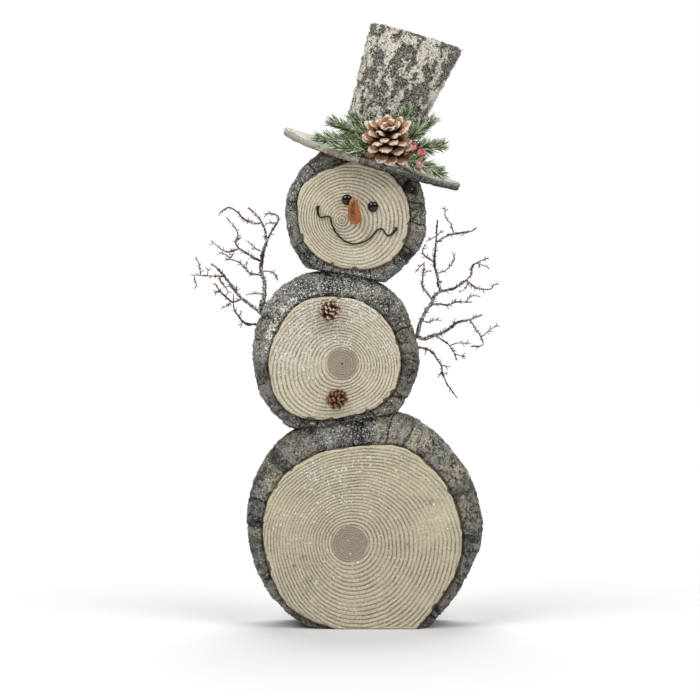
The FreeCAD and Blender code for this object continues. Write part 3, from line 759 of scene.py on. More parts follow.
wood_disc("head_slice_disc", "head_slice_wood", DISC, (-26.0, 412.0), 6.0, 400, 150, (14, 16), 37,
          ((-50, 430, 10, 0.4),), (), ((-20, 372, 26, 0.7), (10, 378, 20, 0.6)), faint_core=True)

lower_bark = bark_ring("lower_slice_rough_bark", "lower_slice_bark", "lower_slice_wood", LOWER_CENTRE, 860,
                       (FLOOR, below(WAIST)), 101,
                       ((52, 190, 17, 1.0), (88, 158, 15, 0.9), (-96, 150, 13, 0.8), (-60, 182, 10, 0.3)),
                       ((-20, 200, 60, 0.6), (60, 190, 40, 0.35), (-100, 120, 50, 0.15)))
middle_bark = bark_ring("middle_slice_rough_bark", "middle_slice_bark", "middle_slice_wood", MIDDLE_CENTRE, 700,
                        (WAIST, below(NECK)), 211,
                        ((8, 338, 10, 0.5), (44, 306, 9, 0.45), (-82, 330, 11, 0.5)),
                        ((-78, 332, 42, 0.9), (-25, 352, 55, 0.95), (-100, 300, 40, 0.45), (-20, 205, 60, 0.4),
                         (25, 335, 30, 0.5)))
head_bark = bark_ring("head_slice_rough_bark", "head_slice_bark", "head_slice_wood", HEAD_CENTRE, 600,
                      (NECK, below(HAT_SEAT)), 307,
                      ((49, 440, 12, 0.6), (51, 408, 13, 0.55)),
                      ((-75, 440, 45, 0.6), (-20, 355, 60, 0.8), (55, 410, 30, 0.5), (-60, 390, 40, 0.3)))


# ---------------------------------------------------------------- hat's place, and more materials

HAT_ORIGIN = np.array((3.0, 0.0, 472.5))
HAT_ROLL = 17.0
BRIM_PITCH = 9.5
CROWN_PITCH = 3.0
BRIM_HALF = (94.0, 56.0)
BRIM_THICKNESS = 7.0


def hat_axes(pitch):
    """The hat's directions to its right, back and up, one to a row."""
    r, p = math.radians(HAT_ROLL), math.radians(pitch)
    right = np.array((math.cos(r), 0.0, -math.sin(r)))
    up = np.array((math.sin(r) * math.cos(p), -math.sin(p), math.cos(r) * math.cos(p)))
    return np.array((right, np.cross(up, right), up))


BRIM_AXES = hat_axes(BRIM_PITCH)
BRIM_UP = BRIM_AXES[2]
CROWN_AXES = hat_axes(CROWN_PITCH)


def crown_look():
    look = Look("crown_flaky_bark", 0.9)
    level = look.sum(look.attribute("plate"), look.line(look.noise(2.4, 4.0, 0.75), 0.8, -0.40))
    grain = look.noise(1.6, 4.0, 0.8)
    mixed = look.sum(look.times(grain, 0.65), look.times(look.noise(4.0, 4.0, 0.7), 0.35))
    base = look.ramp(grain, (0.41, (48, 46, 42)), (0.5, (100, 97, 90)), (0.59, (172, 169, 160)))
    flake = look.ramp(mixed, (0.43, (70, 67, 60)), (0.475, (198, 189, 168)), (0.515, (252, 248, 234)))
    base = look.mix(look.step(level, -0.02, 0.08), base, flake)
    rim = look.times(look.step(level, -0.11, -0.04), look.step(level, 0.18, 0.10))
    rim = look.times(rim, look.step(look.noise(8.0, 2.0), 0.30, 0.42))
    base = look.mix(rim, base, look.ramp(grain, (0.42, (132, 118, 92)), (0.49, (246, 235, 204))))
    on_flake = look.line(look.step(level, -0.08, 0.04), 0.7, 0.3)
    spark = look.times(look.attribute("frost"), look.step(look.noise(1.6, 2.0, 0.6), 0.52, 0.58), on_flake)
    base = look.over(base, look.times(spark, 0.9), (240, 240, 236))
    height = look.sum(look.times(grain, 0.9), look.times(look.step(level, -0.08, 0.08), 0.8))
    return look.finish(base, height, 1.7)


def board_look():
    """Rough brim board: weathered cream top with snow, reddish brown sawn edge."""
    look = Look("brim_board_rough", 0.88)
    grain = look.noise(1.3, 4.0, 0.75, stretch=(0.35, 1.0, 1.0))
    blot = look.noise(7.0, 3.0, 0.6)
    base = look.ramp(grain, (0.37, (96, 89, 76)), (0.5, (152, 146, 130)), (0.63, (204, 200, 187)))
    base = look.over(base, look.times(look.step(blot, 0.47, 0.60), 0.85), (104, 97, 85))
    snow = look.times(look.attribute("snow"), look.step(look.sum(blot, look.times(grain, 0.5)), 0.56, 0.8))
    base = look.over(base, look.times(snow, 0.56), (226, 224, 214))
    sawn = look.ramp(grain, (0.4, (92, 70, 52)), (0.6, (172, 150, 124)))
    base = look.mix(look.times(look.attribute("cut"), 0.7), base, sawn)
    return look.finish(base, look.sum(grain, look.times(blot, 0.5)), 0.8)


def cone_look(name, gap_shade, brown, lip, frost):
    look = Look(name, 0.62)
    streak = look.noise(1.2, 4.0, 0.7)
    along = look.attribute("along")
    base = look.ramp(streak, (0.38, scaled(brown, 0.6)), (0.62, scaled(brown, 1.22)))
    base = look.over(base, look.times(look.attribute("tint"), 0.4), scaled(brown, 0.55))
    # Painted shade: near black where each scale joins the core, between the scales.
    base = look.over(base, look.step(along, 0.80, 0.55), gap_shade)
    # Painted highlight: the lip colour on each scale's rounded tip.
    base = look.over(base, look.times(look.step(along, 0.88, 0.98), 0.6), lip)
    flecks = look.times(look.step(look.noise(1.3, 3.0, 0.7), 0.58, 0.64), look.step(along, 0.6, 0.8))
    edge = look.times(look.step(along, 0.88, 0.97), look.step(look.noise(2.0, 3.0, 0.7), 0.40, 0.52))
    base = look.over(base, look.times(look.math("MAXIMUM", edge, flecks), frost, 0.9), (236, 231, 222))
    return look.finish(base, streak, 0.45)


def needle_look():
    look = Look("fir_needles_flocked", 0.6)
    green = look.ramp(look.attribute("tint"), (0.0, (34, 54, 14)), (0.5, (74, 102, 32)), (1.0, (134, 156, 72)))
    fine = look.noise(1.4, 3.0, 0.7)
    white = look.step(look.sum(fine, look.line(look.attribute("flock"), 0.50, -0.34)), 0.47, 0.56)
    return look.finish(look.over(green, look.times(white, 0.9), (226, 230, 216)), fine, 0.2)


def twig_look():
    look = Look("twig_bark", 0.75)
    grain = look.noise(1.1, 4.0, 0.7)
    thick = look.ramp(grain, (0.40, (24, 15, 11)), (0.5, (58, 40, 32)), (0.62, (104, 84, 72)))
    thin = look.ramp(grain, (0.38, (64, 28, 18)), (0.62, (130, 74, 56)))
    base = look.mix(look.attribute("thin"), thick, thin)
    white = look.times(look.attribute("frost"), look.step(look.noise(1.5, 3.0, 0.65), 0.52, 0.57))
    return look.finish(look.over(base, white, (226, 225, 221)), grain, 0.5)


def berry_look():
    look = Look("berry_frosted_red", 0.35)
    sugar = look.noise(0.9, 3.0, 0.75)
    red = look.ramp(look.noise(2.5), (0.35, (150, 22, 30)), (0.65, (196, 48, 52)))
    white = look.step(look.sum(look.times(sugar, 0.6), look.times(look.noise(4.0, 2.0), 0.5)), 0.54, 0.64)
    return look.finish(look.over(red, look.times(white, 0.85), (238, 210, 208)), sugar, 0.5)


def carrot_look():
    look = Look("carrot_painted", 0.5)
    streak = look.noise(2.2, 4.0, 0.7, 1.2)
    fine = look.noise(0.8, 3.0, 0.7)
    base = look.ramp(streak, (0.36, (138, 74, 28)), (0.5, (176, 102, 42)), (0.64, (208, 134, 66)))
    # dark is painted shade down the nose's middle; the sides that face left and right stay light.
    dark = look.times(look.attribute("dark"), look.line(look.step(streak, 0.62, 0.42), 0.4, 0.5))
    base = look.over(base, dark, (74, 36, 14))
    base = look.over(base, look.times(look.step(fine, 0.6, 0.75), 0.3), (206, 160, 120))
    return look.finish(base, look.sum(streak, fine), 0.35)


def plain_look(name, low, high, size, roughness, depth, **principled):
    look = Look(name, roughness, **principled)
    grain = look.noise(size, 4.0, 0.65)
    return look.finish(look.ramp(grain, (0.3, low), (0.7, high)), grain, depth)


def core_look():
    """End grain of the crown block: faint rings round its middle."""
    look = Look("crown_block_end_grain", 0.8)
    fine = look.noise(1.2, 4.0, 0.7)
    middle = (HAT_ORIGIN + np.array((11.0, -1.0, 137.0)) @ CROWN_AXES) * MM
    turn = (math.radians(CROWN_PITCH), math.radians(HAT_ROLL), 0.0)
    place = {"Vector": look.place, "Location": tuple(middle), "Rotation": turn}
    local = look.node("Mapping", place, vector_type="TEXTURE").outputs[0]
    wave = {"Vector": local, "Scale": 88.0, "Distortion": 1.2, "Detail": 2.0}
    bands = look.node("TexWave", wave, wave_type="RINGS", rings_direction="Z").outputs["Fac"]
    base = look.ramp(bands, (0.1, (128, 114, 90)), (0.35, (186, 174, 148)), (0.8, (204, 194, 170)))
    base = look.over(base, look.times(look.step(fine, 0.45, 0.75), 0.4), (140, 122, 94))
    return look.finish(base, look.sum(fine, look.times(bands, 0.4)), 0.4)


def give(material, *nodes):
    """A material for CAD nodes that keep their own shapes."""
    for node in nodes:
        mesh = NODES[node].data
        mesh.materials.clear()
        mesh.materials.append(material)


CROWN = crown_look()
LIP_BARK = bark_look("brim_bark_rough", (40, 38, 35), (92, 89, 83), (164, 161, 152), (150, 142, 122))
BOARD = board_look()
HAT_CONE = cone_look("hat_cone_scales", (22, 13, 8), (184, 128, 80), (212, 170, 126), 0.95)
BUTTON_DARK = cone_look("upper_button_scales", (14, 8, 5), (118, 68, 34), (168, 112, 66), 0.8)
BUTTON_BROWN = cone_look("lower_button_scales", (12, 7, 4), (88, 50, 22), (166, 112, 60), 0.12)
NEEDLES = needle_look()
TWIG = twig_look()
BERRY = berry_look()
CARROT = carrot_look()
EYE = plain_look("eye_black_gloss", (4, 5, 7), (12, 13, 16), 3.0, 0.14, 0.02, Specular_IOR_Level=0.5)
WIRE = plain_look("smile_black_wire", (18, 18, 17), (44, 42, 39), 1.5, 0.38, 0.15, Metallic=0.6)
GLUE = plain_look("clear_hot_glue", (176, 168, 148), (208, 202, 188), 4.0, 0.25, 0.2, Transmission_Weight=0.35)
DOWEL = plain_look("dowel_beech", (176, 140, 96), (204, 170, 124), 1.8, 0.6, 0.2)
give(DOWEL, *(f"{seat}_dowel_{side}" for seat in ("waist", "neck", "hat") for side in ("left", "right")))
give(GLUE, "upper_button_glue", "lower_button_glue", "spray_glue")
give(core_look(), "hat_crown_block")


# ---------------------------------------------------------------- hat


def from_hat(points):
    """Points from the brim's own frame."""
    return HAT_ORIGIN + points @ BRIM_AXES


def above_brim(points, gap):
    """Points lifted, where they need it, to a gap above the brim's upper face."""
    level = (points - HAT_ORIGIN) @ BRIM_UP
    return points + np.maximum(BRIM_THICKNESS + gap - level, 0.0)[..., None] * BRIM_UP


# Height, shift to the right, half width and half depth of the crown at its foot and its top.
CROWN_FOOT = (-12.0, -3.0, 29.1, 21.5)
CROWN_TOP = (137.3, 7.3, 48.3, 28.0)
CROWN_BARK = 5.0


def crown_wall(angles, share, inset):
    """Points on the crown's flared wall, from its foot on the brim (share 0) to its top (share 1)."""
    ends = []
    for height, shift, half_width, half_depth in (CROWN_FOOT, CROWN_TOP):
        u = shift + (half_width - inset) * np.cos(angles)
        v = 2.0 + (half_depth - inset) * np.sin(angles)
        ends.append(HAT_ORIGIN + np.stack([u, v, 0 * u + height], axis=-1) @ CROWN_AXES)
    low, high = ends
    start = (BRIM_THICKNESS - (low - HAT_ORIGIN) @ BRIM_UP) / ((high - low) @ BRIM_UP)
    low = low + start[:, None] * (high - low)
    return low + np.reshape(share, (-1, 1, 1)) * (high - low)


def build_crown():
    """The crown's bark: a wall of raised flakes, a ragged top edge and a plain inner wall."""
    columns, rows = 380, 225
    angles = turns(columns)
    share = np.linspace(0, 1, rows)[:, None]
    wall = crown_wall(angles, share, 0.0)
    normals = grid_normals(wall, True, wall.mean(1, keepdims=True))
    drum = np.stack(np.broadcast_arrays(40 * np.cos(angles), 30 * np.sin(angles), 70 * share), axis=-1)
    drum = drum + 2.0 * np.stack([fractal(wall, 5.0, 520 + 4 * k, 3, 0.7) for k in range(3)], axis=-1)
    plate = fractal(drum, 6.0, 501, 3, 0.5) + 0.05
    push = 1.9 * (smooth(-0.04, 0.08, plate) - 0.5) * (0.75 + 0.25 * noise(wall, 9.0, 540))
    push = push + 0.55 * fractal(wall, 4.2, 531, 4, 0.85) - 0.1 + 0.6 * smooth(0.2, 0.0, np.abs(plate - 0.08))
    points = above_brim(wall + normals * (push * smooth(0.0, 0.015, share))[..., None], 0.0)
    jag = 1.1 * noise(points[-1:], 4.0, 545) + 0.6 * noise(points[-1:], 1.8, 546)
    points = points + (jag * smooth(0.97, 1.0, share))[..., None] * CROWN_AXES[2]
    inner = crown_wall(angles, (1.0, 0.5, 0.0), CROWN_BARK)
    lip = []
    for part in (0.33, 0.66):
        ring = points[-1] * (1 - part) + inner[0] * part
        lip.append(ring + (0.4 * noise(ring, 2.5, 547))[:, None] * CROWN_AXES[2])
    surface = np.concatenate([points, lip, inner])
    frost = 0.75 * smooth(0.15, 0.35, share) * smooth(0.75, 0.5, share) * (0.5 + 0.5 * noise(wall, 28.0, 550))
    frost = 0.25 + frost
    hidden = np.ones((len(surface) - rows, columns))
    fields = {"plate": np.concatenate([plate, -0.3 * hidden]), "frost": np.concatenate([frost, 0.2 * hidden])}
    piece("hat_crown_rough_bark", surface, [looped_faces(len(surface), columns, True)], CROWN, "crown_bark",
          fields, replaces=("hat_crown_bark",))
    return points, normals, frost


# Compass angles, in degrees, between which the rim has kept its strip of bark.
BARK_KEPT = (-97, 6)


def brim_sheet(u, v, level, seed, touch):
    """One face of the board, curled up at its left end and rough except where something touches it."""
    flat = np.stack([u, v, 0 * u + level], axis=-1)
    rough = 0.35 * fractal(flat, 5.0, 610 + seed, 3, 0.6) + 0.25 * noise(flat, 22.0, 620 + seed)
    curl = 3.0 * (np.maximum(-50.0 - u, 0.0) / 45.0) ** 2
    return np.stack([u, v, curl + level + rough * (1 - touch)], axis=-1)


def build_brim():
    columns = 360
    angles = turns(columns)
    degrees = np.degrees(angles)
    degrees = np.where(degrees > 180, degrees - 360, degrees)
    keeps_bark = (degrees > BARK_KEPT[0]) & (degrees < BARK_KEPT[1])
    inset = np.where(keeps_bark, 3.6, 0.0)
    share = (np.linspace(0, 1, 56) ** 0.9)[:, None]
    u = share * (BRIM_HALF[0] - inset) * np.cos(angles)
    v = share * (BRIM_HALF[1] - inset) * np.sin(angles)
    under_crown = smooth(1.2, 1.06, np.hypot((u + 1.7) / 31.4, (v - 2) / 22.5))
    over_head = smooth(1.25, 1.1, np.hypot(u / 52.0, v / 44.0))
    top = brim_sheet(u, v, BRIM_THICKNESS, 0, under_crown)
    low = brim_sheet(u, v, 0.0, 1, over_head)
    side = []
    for part, swell in ((0.08, 0.2), (0.3, 0.6), (0.55, 0.6), (0.8, 0.6), (0.94, 0.2)):
        row = top[-1] * (1 - part) + low[-1] * part
        bulge = np.where(keeps_bark, 0.0, (0.5 + 0.5 * fractal(row, 4.0, 633, 3)) * swell)
        row[:, :2] *= 1 + (bulge / np.hypot(row[:, 0], row[:, 1]))[:, None]
        side.append(row)
    none = np.zeros_like(u)
    snow = np.maximum(0.35 + 0.65 * smooth(0.0, -60.0, u), smooth(30.0, 60.0, u))
    snow = np.concatenate([snow, snow[-1] * np.array((0.9, 0.8, 0.6, 0.3, 0.0))[:, None], none])
    cut = np.concatenate([none, none[:5] + np.array((0.0, 0.0, 0.1, 0.5, 1.0))[:, None], none + 0.6])
    fields = {"snow": shell_field(snow), "cut": shell_field(cut)}
    points, faces = drawn_in(from_hat(np.concatenate([top, side, low[::-1]])))
    piece("hat_brim_board", points, faces, BOARD, "brim_wood", fields, replaces=("hat_brim",))


def build_brim_bark():
    """The strip of bark left on the front right of the rim."""
    count, sides = 190, 22
    way = np.radians(np.linspace(*BARK_KEPT, count))
    a, b = BRIM_HALF
    middle = np.stack([(a - 1.6) * np.cos(way), (b - 1.6) * np.sin(way), 0 * way + 3.4], axis=-1)
    away = np.stack([np.cos(way) / a, np.sin(way) / b, 0 * way], axis=-1)
    away /= np.linalg.norm(away, axis=1, keepdims=True)
    # The strip's section is a rounded oblong, a little thinner on its inner side.
    c, s = np.cos(turns(sides)), np.sin(turns(sides))
    wide = np.sign(c) * np.abs(c) ** 0.7 * np.where(c < 0, 1.805, 1.9)
    tall = np.sign(s) * np.abs(s) ** 0.7 * 3.243
    taper = np.sqrt(np.clip(np.minimum(np.arange(count), np.arange(count)[::-1]) / 5.0, 0.02, 1.0))
    section = wide[:, None] * away[:, None] + tall[:, None] * np.array((0, 0, 1.0))
    ring = middle[:, None] + taper[:, None, None] * section
    radial = ring - middle[:, None]
    radial /= np.maximum(np.linalg.norm(radial, axis=-1, keepdims=True), 1e-6)
    outward = np.maximum(np.einsum("ijk,ik->ij", radial, away), 0.0) + 0.6 * np.abs(radial[..., 2])
    ring = ring + radial * (0.75 * fractal(ring, 4.0, 640, 4, 0.75) * outward)[..., None]
    points, faces = shell(from_hat(ring))
    # shelf says how far the strip's section faces up: lift paints a highlight along its top, crack paints shade
    # along its underside, and frost lies on its top.
    shelf = np.append(np.tile(s, count) * 1.4 + 0.3, (0.3, 0.3))
    fields = {"crack": 0.75 * smooth(0.1, -0.9, shelf), "lift": 0.9 * shelf + 0.1, "patch": 0 * shelf,
              "inner": 0 * shelf, "frost": 0.1 + 0.8 * smooth(1.0, 1.6, shelf)}
    piece("hat_brim_bark_lip", points, faces, LIP_BARK, "brim_bark", fields, replaces=("hat_brim_bark_edge",))


crown_surface = build_crown()
build_brim()
build_brim_bark()


# ---------------------------------------------------------------- cones

GOLDEN_ANGLE = math.radians(137.508)


def cone_scale(length, width, thickness, rise, droop, cup):
    """One scale: narrow where it joins, broad and curled at its rounded tip. Local Y runs outwards."""
    rows, columns = 9, 9
    s = np.linspace(0, 1, rows)[:, None]
    a = np.linspace(-1, 1, columns)
    half = 0.5 * width * (0.38 + 0.62 * smooth(0.0, 0.7, s))
    x = a * half * np.sqrt(np.clip(1 - (np.maximum(s - 0.80, 0) / 0.22) ** 2, 0.12, 1))
    y = length * s - 0.05 * length * a**2 * smooth(0.5, 1.0, s)
    z = rise * s**1.3 - droop * s**4 - cup * a**2 * smooth(0.1, 0.8, s)
    thick = thickness * (0.45 + 0.75 * smooth(0.5, 0.95, s)) * (1 - 0.55 * a**4)
    points = np.concatenate([np.stack([x, y, z + side * thick], axis=-1) for side in (0.5, -0.5)])
    count = rows * columns
    top = np.arange(count).reshape(rows, columns)
    rim = np.concatenate([top[0], top[1:, -1], top[-1, -2::-1], top[-2:0:-1, 0]])
    after = np.roll(rim, -1)
    faces = np.vstack([grid_faces(rows, columns, False), grid_faces(rows, columns, False, count)[:, ::-1],
                       np.stack([after, rim, rim + count, after + count], axis=1)])
    along = np.clip(s + 0.12 * np.abs(a) ** 3 * smooth(0.4, 0.8, s), 0, 1)
    return points.reshape(-1, 3), [faces], np.tile(along.ravel(), 2)


def build_cone(name, node, centre, axis, low, high, radius, count, size, broad, material, seed, loose):
    """A cone of spiralling scales from its broad foot (low) to its tip (high) along the axis. size is a
    scale's thickness and broad its width in thicknesses."""
    random = np.random.default_rng(seed)
    axis = unit(axis)
    side = unit(np.cross(axis, (0.2, 0.9, 0.1)))
    over = np.cross(axis, side)
    centre = np.array(centre)
    pile = Pile()
    levels = np.linspace(low, high - 0.12 * (high - low), 14)
    share = (levels - low) / (high - low)
    core = radius * (0.10 + 0.32 * np.sin(math.pi * np.clip(0.15 + 0.8 * share, 0, 1)))
    pile.add(*tube(centre + levels[:, None] * axis, core, 16), along=0.0, tint=0.5)
    for k in range(count):
        t = (k + 0.5) / count
        turn = 0.4 + k * GOLDEN_ANGLE + random.normal() * 1.2 * loose
        base = centre + (low + (high - low) * (0.05 + 0.80 * t)) * axis
        reach = radius * math.sin(math.pi * (0.27 + 0.67 * t)) ** 0.75
        reach = reach * random.uniform(1 - loose, 1 + 0.6 * loose)
        tilt = math.radians(-16 + 88 * t**1.4 + random.normal() * 80 * loose)
        length = max(reach / max(math.cos(tilt), 0.62), 3.0 * size) * 0.97
        width = size * broad * random.uniform(0.9, 1.12) * (1.0 - 0.40 * t**2)
        droop, cup = size * random.uniform(3.5, 6.0), size * random.uniform(0.4, 2.4)
        points, faces, along = cone_scale(length, width, size * 1.15, size * 2.0, droop, cup)
        out = math.cos(turn) * side + math.sin(turn) * over
        forward = out * math.cos(tilt) + axis * math.sin(tilt)
        across = unit(np.cross(forward, axis))
        upward = np.cross(across, forward)
        twist = random.normal() * 0.18
        c, s = math.cos(twist), math.sin(twist)
        axes = np.array((across * c + upward * s, forward, upward * c - across * s))
        points = base + points @ axes
        points = points + 0.4 * size * noise(points, 2.4 * size, seed + 3)[:, None] * axes[2]
        pile.add(points, faces, along=along, tint=random.random())
    pile.build(name, material, "cone_scales", replaces=(node,))


build_cone("hat_pine_cone", "hat_cone", (20.5, -47.0, 488.0), (-0.06, -0.70, 0.71), -17.0, 17.0, 27.0,
           58, 0.95, 14.5, HAT_CONE, 71, 0.09)
for label, x, z, radius, material, seed, axis in (
    ("upper", -39.0, 320.0, 11.5, BUTTON_DARK, 81, (0.5, -1.0, 0.7)),
    ("lower", -31.0, 232.0, 10.6, BUTTON_BROWN, 91, (0.7, -1.0, 0.45)),
):
    build_cone(label + "_button_scales", label + "_button_cone", (x, WOOD_FRONT - 7.0, z), axis, -5.0, 6.2,
               radius, 38, 0.55, 11.5, material, seed, 0.07)


# ---------------------------------------------------------------- fir sprigs and berries

SPRIGS = (
    ("sprig_left_low", (0, -52, 480), (-44, -55, 486)),
    ("sprig_left_long", (2, -42, 487), (-54, -38, 500)),
    ("sprig_left_high", (4, -40, 492), (-38, -36, 516)),
    ("sprig_left_crown", (8, -36, 496), (-16, -33, 521)),
    ("sprig_right_crown", (32, -36, 496), (40, -34, 530)),
    ("sprig_right_high", (38, -38, 490), (66, -36, 518)),
    ("sprig_right_long", (42, -40, 480), (76, -40, 492)),
    ("sprig_right_low", (38, -50, 471), (74, -54, 462)),
)
SAG = np.array((0.0, 0.0, 5.5))
NEEDLE_GAP = 1.0
NEEDLE_TURN = 2.39996
NEEDLE_SHAPE = np.array((0.75, 1.0, 0.95, 0.75, 0.28))


def build_sprig(name, start, end, seed):
    """Wire stem wound with flat needles that lean towards its tip."""
    random = np.random.default_rng(seed)
    start, end = np.array(start, float), np.array(end, float)
    span = end - start
    way = unit(span)
    side = unit(np.cross(way, (0.1, 1.0, 0.2)))
    over = np.cross(way, side)
    t = np.linspace(0, 1, 16)[:, None]
    stem = start + span * 0.93 * t + 1.8 * np.sin(t * math.pi) * side * random.uniform(-1, 1) - SAG * t**2
    pile = Pile()
    pile.add(*tube(above_brim(stem, NEEDLE_GAP), np.linspace(0.8, 0.45, 16), 7), tint=0.1, flock=0.25)
    count = int(115 + np.linalg.norm(span) * 3.3)
    s = np.linspace(0, 1, len(NEEDLE_SHAPE))[:, None]
    for k in range(count):
        at = (k + random.random()) / count
        place = start + span * (0.02 + 0.88 * at) - SAG * at**2
        turn = k * NEEDLE_TURN + random.normal() * 0.35
        out = math.cos(turn) * side + math.sin(turn) * over
        lean = math.radians(random.uniform(18, 62) * (1.0 - 0.3 * at))
        heading = unit(way * math.cos(lean) + out * math.sin(lean))
        long = random.uniform(11.0, 16.5) * (1.0 - 0.28 * at)
        bend = random.normal(size=3) * 0.9 + way * 1.2
        line = above_brim(place + heading * long * s + bend * s**2, NEEDLE_GAP)
        width = random.uniform(0.48, 0.7)
        needle = tube(line, width * NEEDLE_SHAPE, 5, random.random() * 6)
        pile.add(*needle, tint=random.random(), flock=random.random() ** 0.8)
    pile.build(name + "_needles", NEEDLES, "fir_needles", replaces=(name,))
    return np.vstack(pile.points)


needle_points = np.vstack([build_sprig(*row, seed=400 + number) for number, row in enumerate(SPRIGS)])

BERRY_ROOT = np.array((36.0, -46.0, 477.0))
BERRY_RADIUS = 4.75


def build_berry(name, centre, seed):
    """A sugared berry, dented at both ends, on a wire from the spray's bed of glue."""
    centre = np.array(centre)
    out = unit(centre - BERRY_ROOT)
    side = unit(np.cross(out, (0, 1, 0.3)))
    over = np.cross(out, side)
    polar = np.linspace(0.02, math.pi - 0.02, 26)[:, None, None]
    spin = turns(36)[:, None]
    dents = 0.10 * np.exp(-((polar / 0.28) ** 2)) + 0.14 * np.exp(-(((math.pi - polar) / 0.25) ** 2))
    direction = np.cos(polar) * out + np.sin(polar) * (np.cos(spin) * side + np.sin(spin) * over)
    ball = centre + direction * BERRY_RADIUS * (1 - dents)
    ball = ball + direction * (0.16 * fractal(ball, 1.3, seed, 2))[..., None]
    pile = Pile()
    pile.add(*shell(ball))
    wire = curve_points([BERRY_ROOT, (BERRY_ROOT + centre) / 2 + (0, 0, 0.8), centre - out * 4.3], 1.0)
    pile.add(*tube(wire, np.full(len(wire), 0.5), 8))
    pile.build(name + "_frosted", BERRY, "berry_red", replaces=(name,))


build_berry("berry_upper", (45.0, -50.0, 484.5), 700)
build_berry("berry_middle", (53.5, -52.5, 478.0), 701)
build_berry("berry_lower", (52.0, -54.5, 466.5), 702)


# ---------------------------------------------------------------- face


def build_eye(name, x, z):
    """A domed bead on a pin that runs back into the wood."""
    radius = 5.5
    tilt = np.clip(np.linspace(0.0, 1.0, 18)[1:] * 1.02, 0, 1) * math.pi / 2
    radii = np.append(radius * np.sin(tilt), (5.2, 0.9, 0.9))
    heights = np.append(radius * 0.8 * np.cos(tilt), (-0.15, -0.2, -9.5))
    rings = at_compass((x, z), radii[:, None], WOOD_FRONT - heights[:, None], turns(48))
    points, faces = shell(rings, (x, WOOD_FRONT - 4.4, z), (x, WOOD_FRONT + 9.9, z))
    piece(name + "_bead", points, faces, EYE, "eye_gloss", replaces=(name,))


NOSE = ((-12.4, -41.5, 413.3), (-13.3, -46.5, 416.0), (-14.5, -53.0, 420.8), (-14.4, -59.0, 426.2),
        (-13.7, -64.0, 431.2))


def build_nose():
    """A curved carved carrot, with painted shade where its surface faces up, down or forwards, so that its left
    and right sides stay lighter.
    """
    sides = 40
    spine = curve_points(NOSE, 0.55)
    share = np.linspace(0, 1, len(spine))
    thick = np.interp(share, (0, 0.25, 0.5, 0.8, 1.0), (6.4, 6.4, 5.8, 4.6, 3.6))
    thick = thick * np.sqrt(np.clip(1 - (np.maximum(share - 0.86, 0) / 0.15) ** 2, 0.02, 1))
    points, faces = tube(spine, thick, sides)
    creases = 0.22 * noise(points * (0.3, 2.2, 2.2), 3.0, 801) + 0.25 * fractal(points, 3.5, 803, 3)
    radial = points[:-2] - np.repeat(spine, sides, axis=0)
    radial /= np.maximum(np.linalg.norm(radial, axis=1, keepdims=True), 1e-6)
    points[:-2] += radial * creases[:-2, None]
    points[:, 1] = np.minimum(points[:, 1], WOOD_FRONT + 0.4)
    # dark is painted shade: most along the middle of the nose, least where the surface faces left or right.
    dark = np.repeat(smooth(0.1, 0.6, share) * smooth(1.1, 0.9, share), sides)
    dark = np.append(dark * smooth(0.75, 0.25, np.abs(radial[:, 0] + 0.15)), (0.0, 0.3))
    fields = {"dark": dark}
    piece("carrot_nose_carved", points, faces, CARROT, "carrot_paint", fields, replaces=("carrot_nose",))


# The wire's line on the face, as (x, z), then its two ends that turn back into the wood.
SMILE = ((-50.5, 424.0), (-50.0, 418.0), (-47.7, 414.3), (-41.5, 415.2), (-37.3, 414.0), (-36.9, 410.0),
         (-35.3, 405.0), (-31.2, 398.0), (-24.0, 391.0), (-16.1, 388.0), (-8.0, 388.4), (0.0, 392.0),
         (7.0, 398.8), (10.0, 401.8), (14.0, 402.8), (17.2, 398.8), (20.2, 395.8), (24.2, 397.8), (28.2, 402.2))
SMILE_START = ((-48.9, WOOD_FRONT + 4.5, 424.4), (-49.6, WOOD_FRONT - 0.4, 424.9))
SMILE_END = ((27.9, WOOD_FRONT - 0.4, 403.6), (27.0, WOOD_FRONT + 4.5, 403.2))


def build_smile():
    line = [*SMILE_START, *((x, WOOD_FRONT - 0.95, z) for x, z in SMILE), *SMILE_END]
    wire = curve_points(line, 0.7)
    share = np.linspace(0, 1, len(wire))
    ends = np.exp(-(((np.minimum(share, 1 - share) - 0.06) / 0.04) ** 2))
    points, faces = tube(wire, 0.80 + 0.75 * ends + 0.12 * noise(wire, 3.0, 811), 12)
    piece("smile_bent_wire", points, faces, WIRE, "smile_metal", replaces=("smile_wire",))


build_eye("left_eye", -21.0, 432.0)
build_eye("right_eye", 5.0, 425.0)
build_nose()
build_smile()


# ---------------------------------------------------------------- twigs

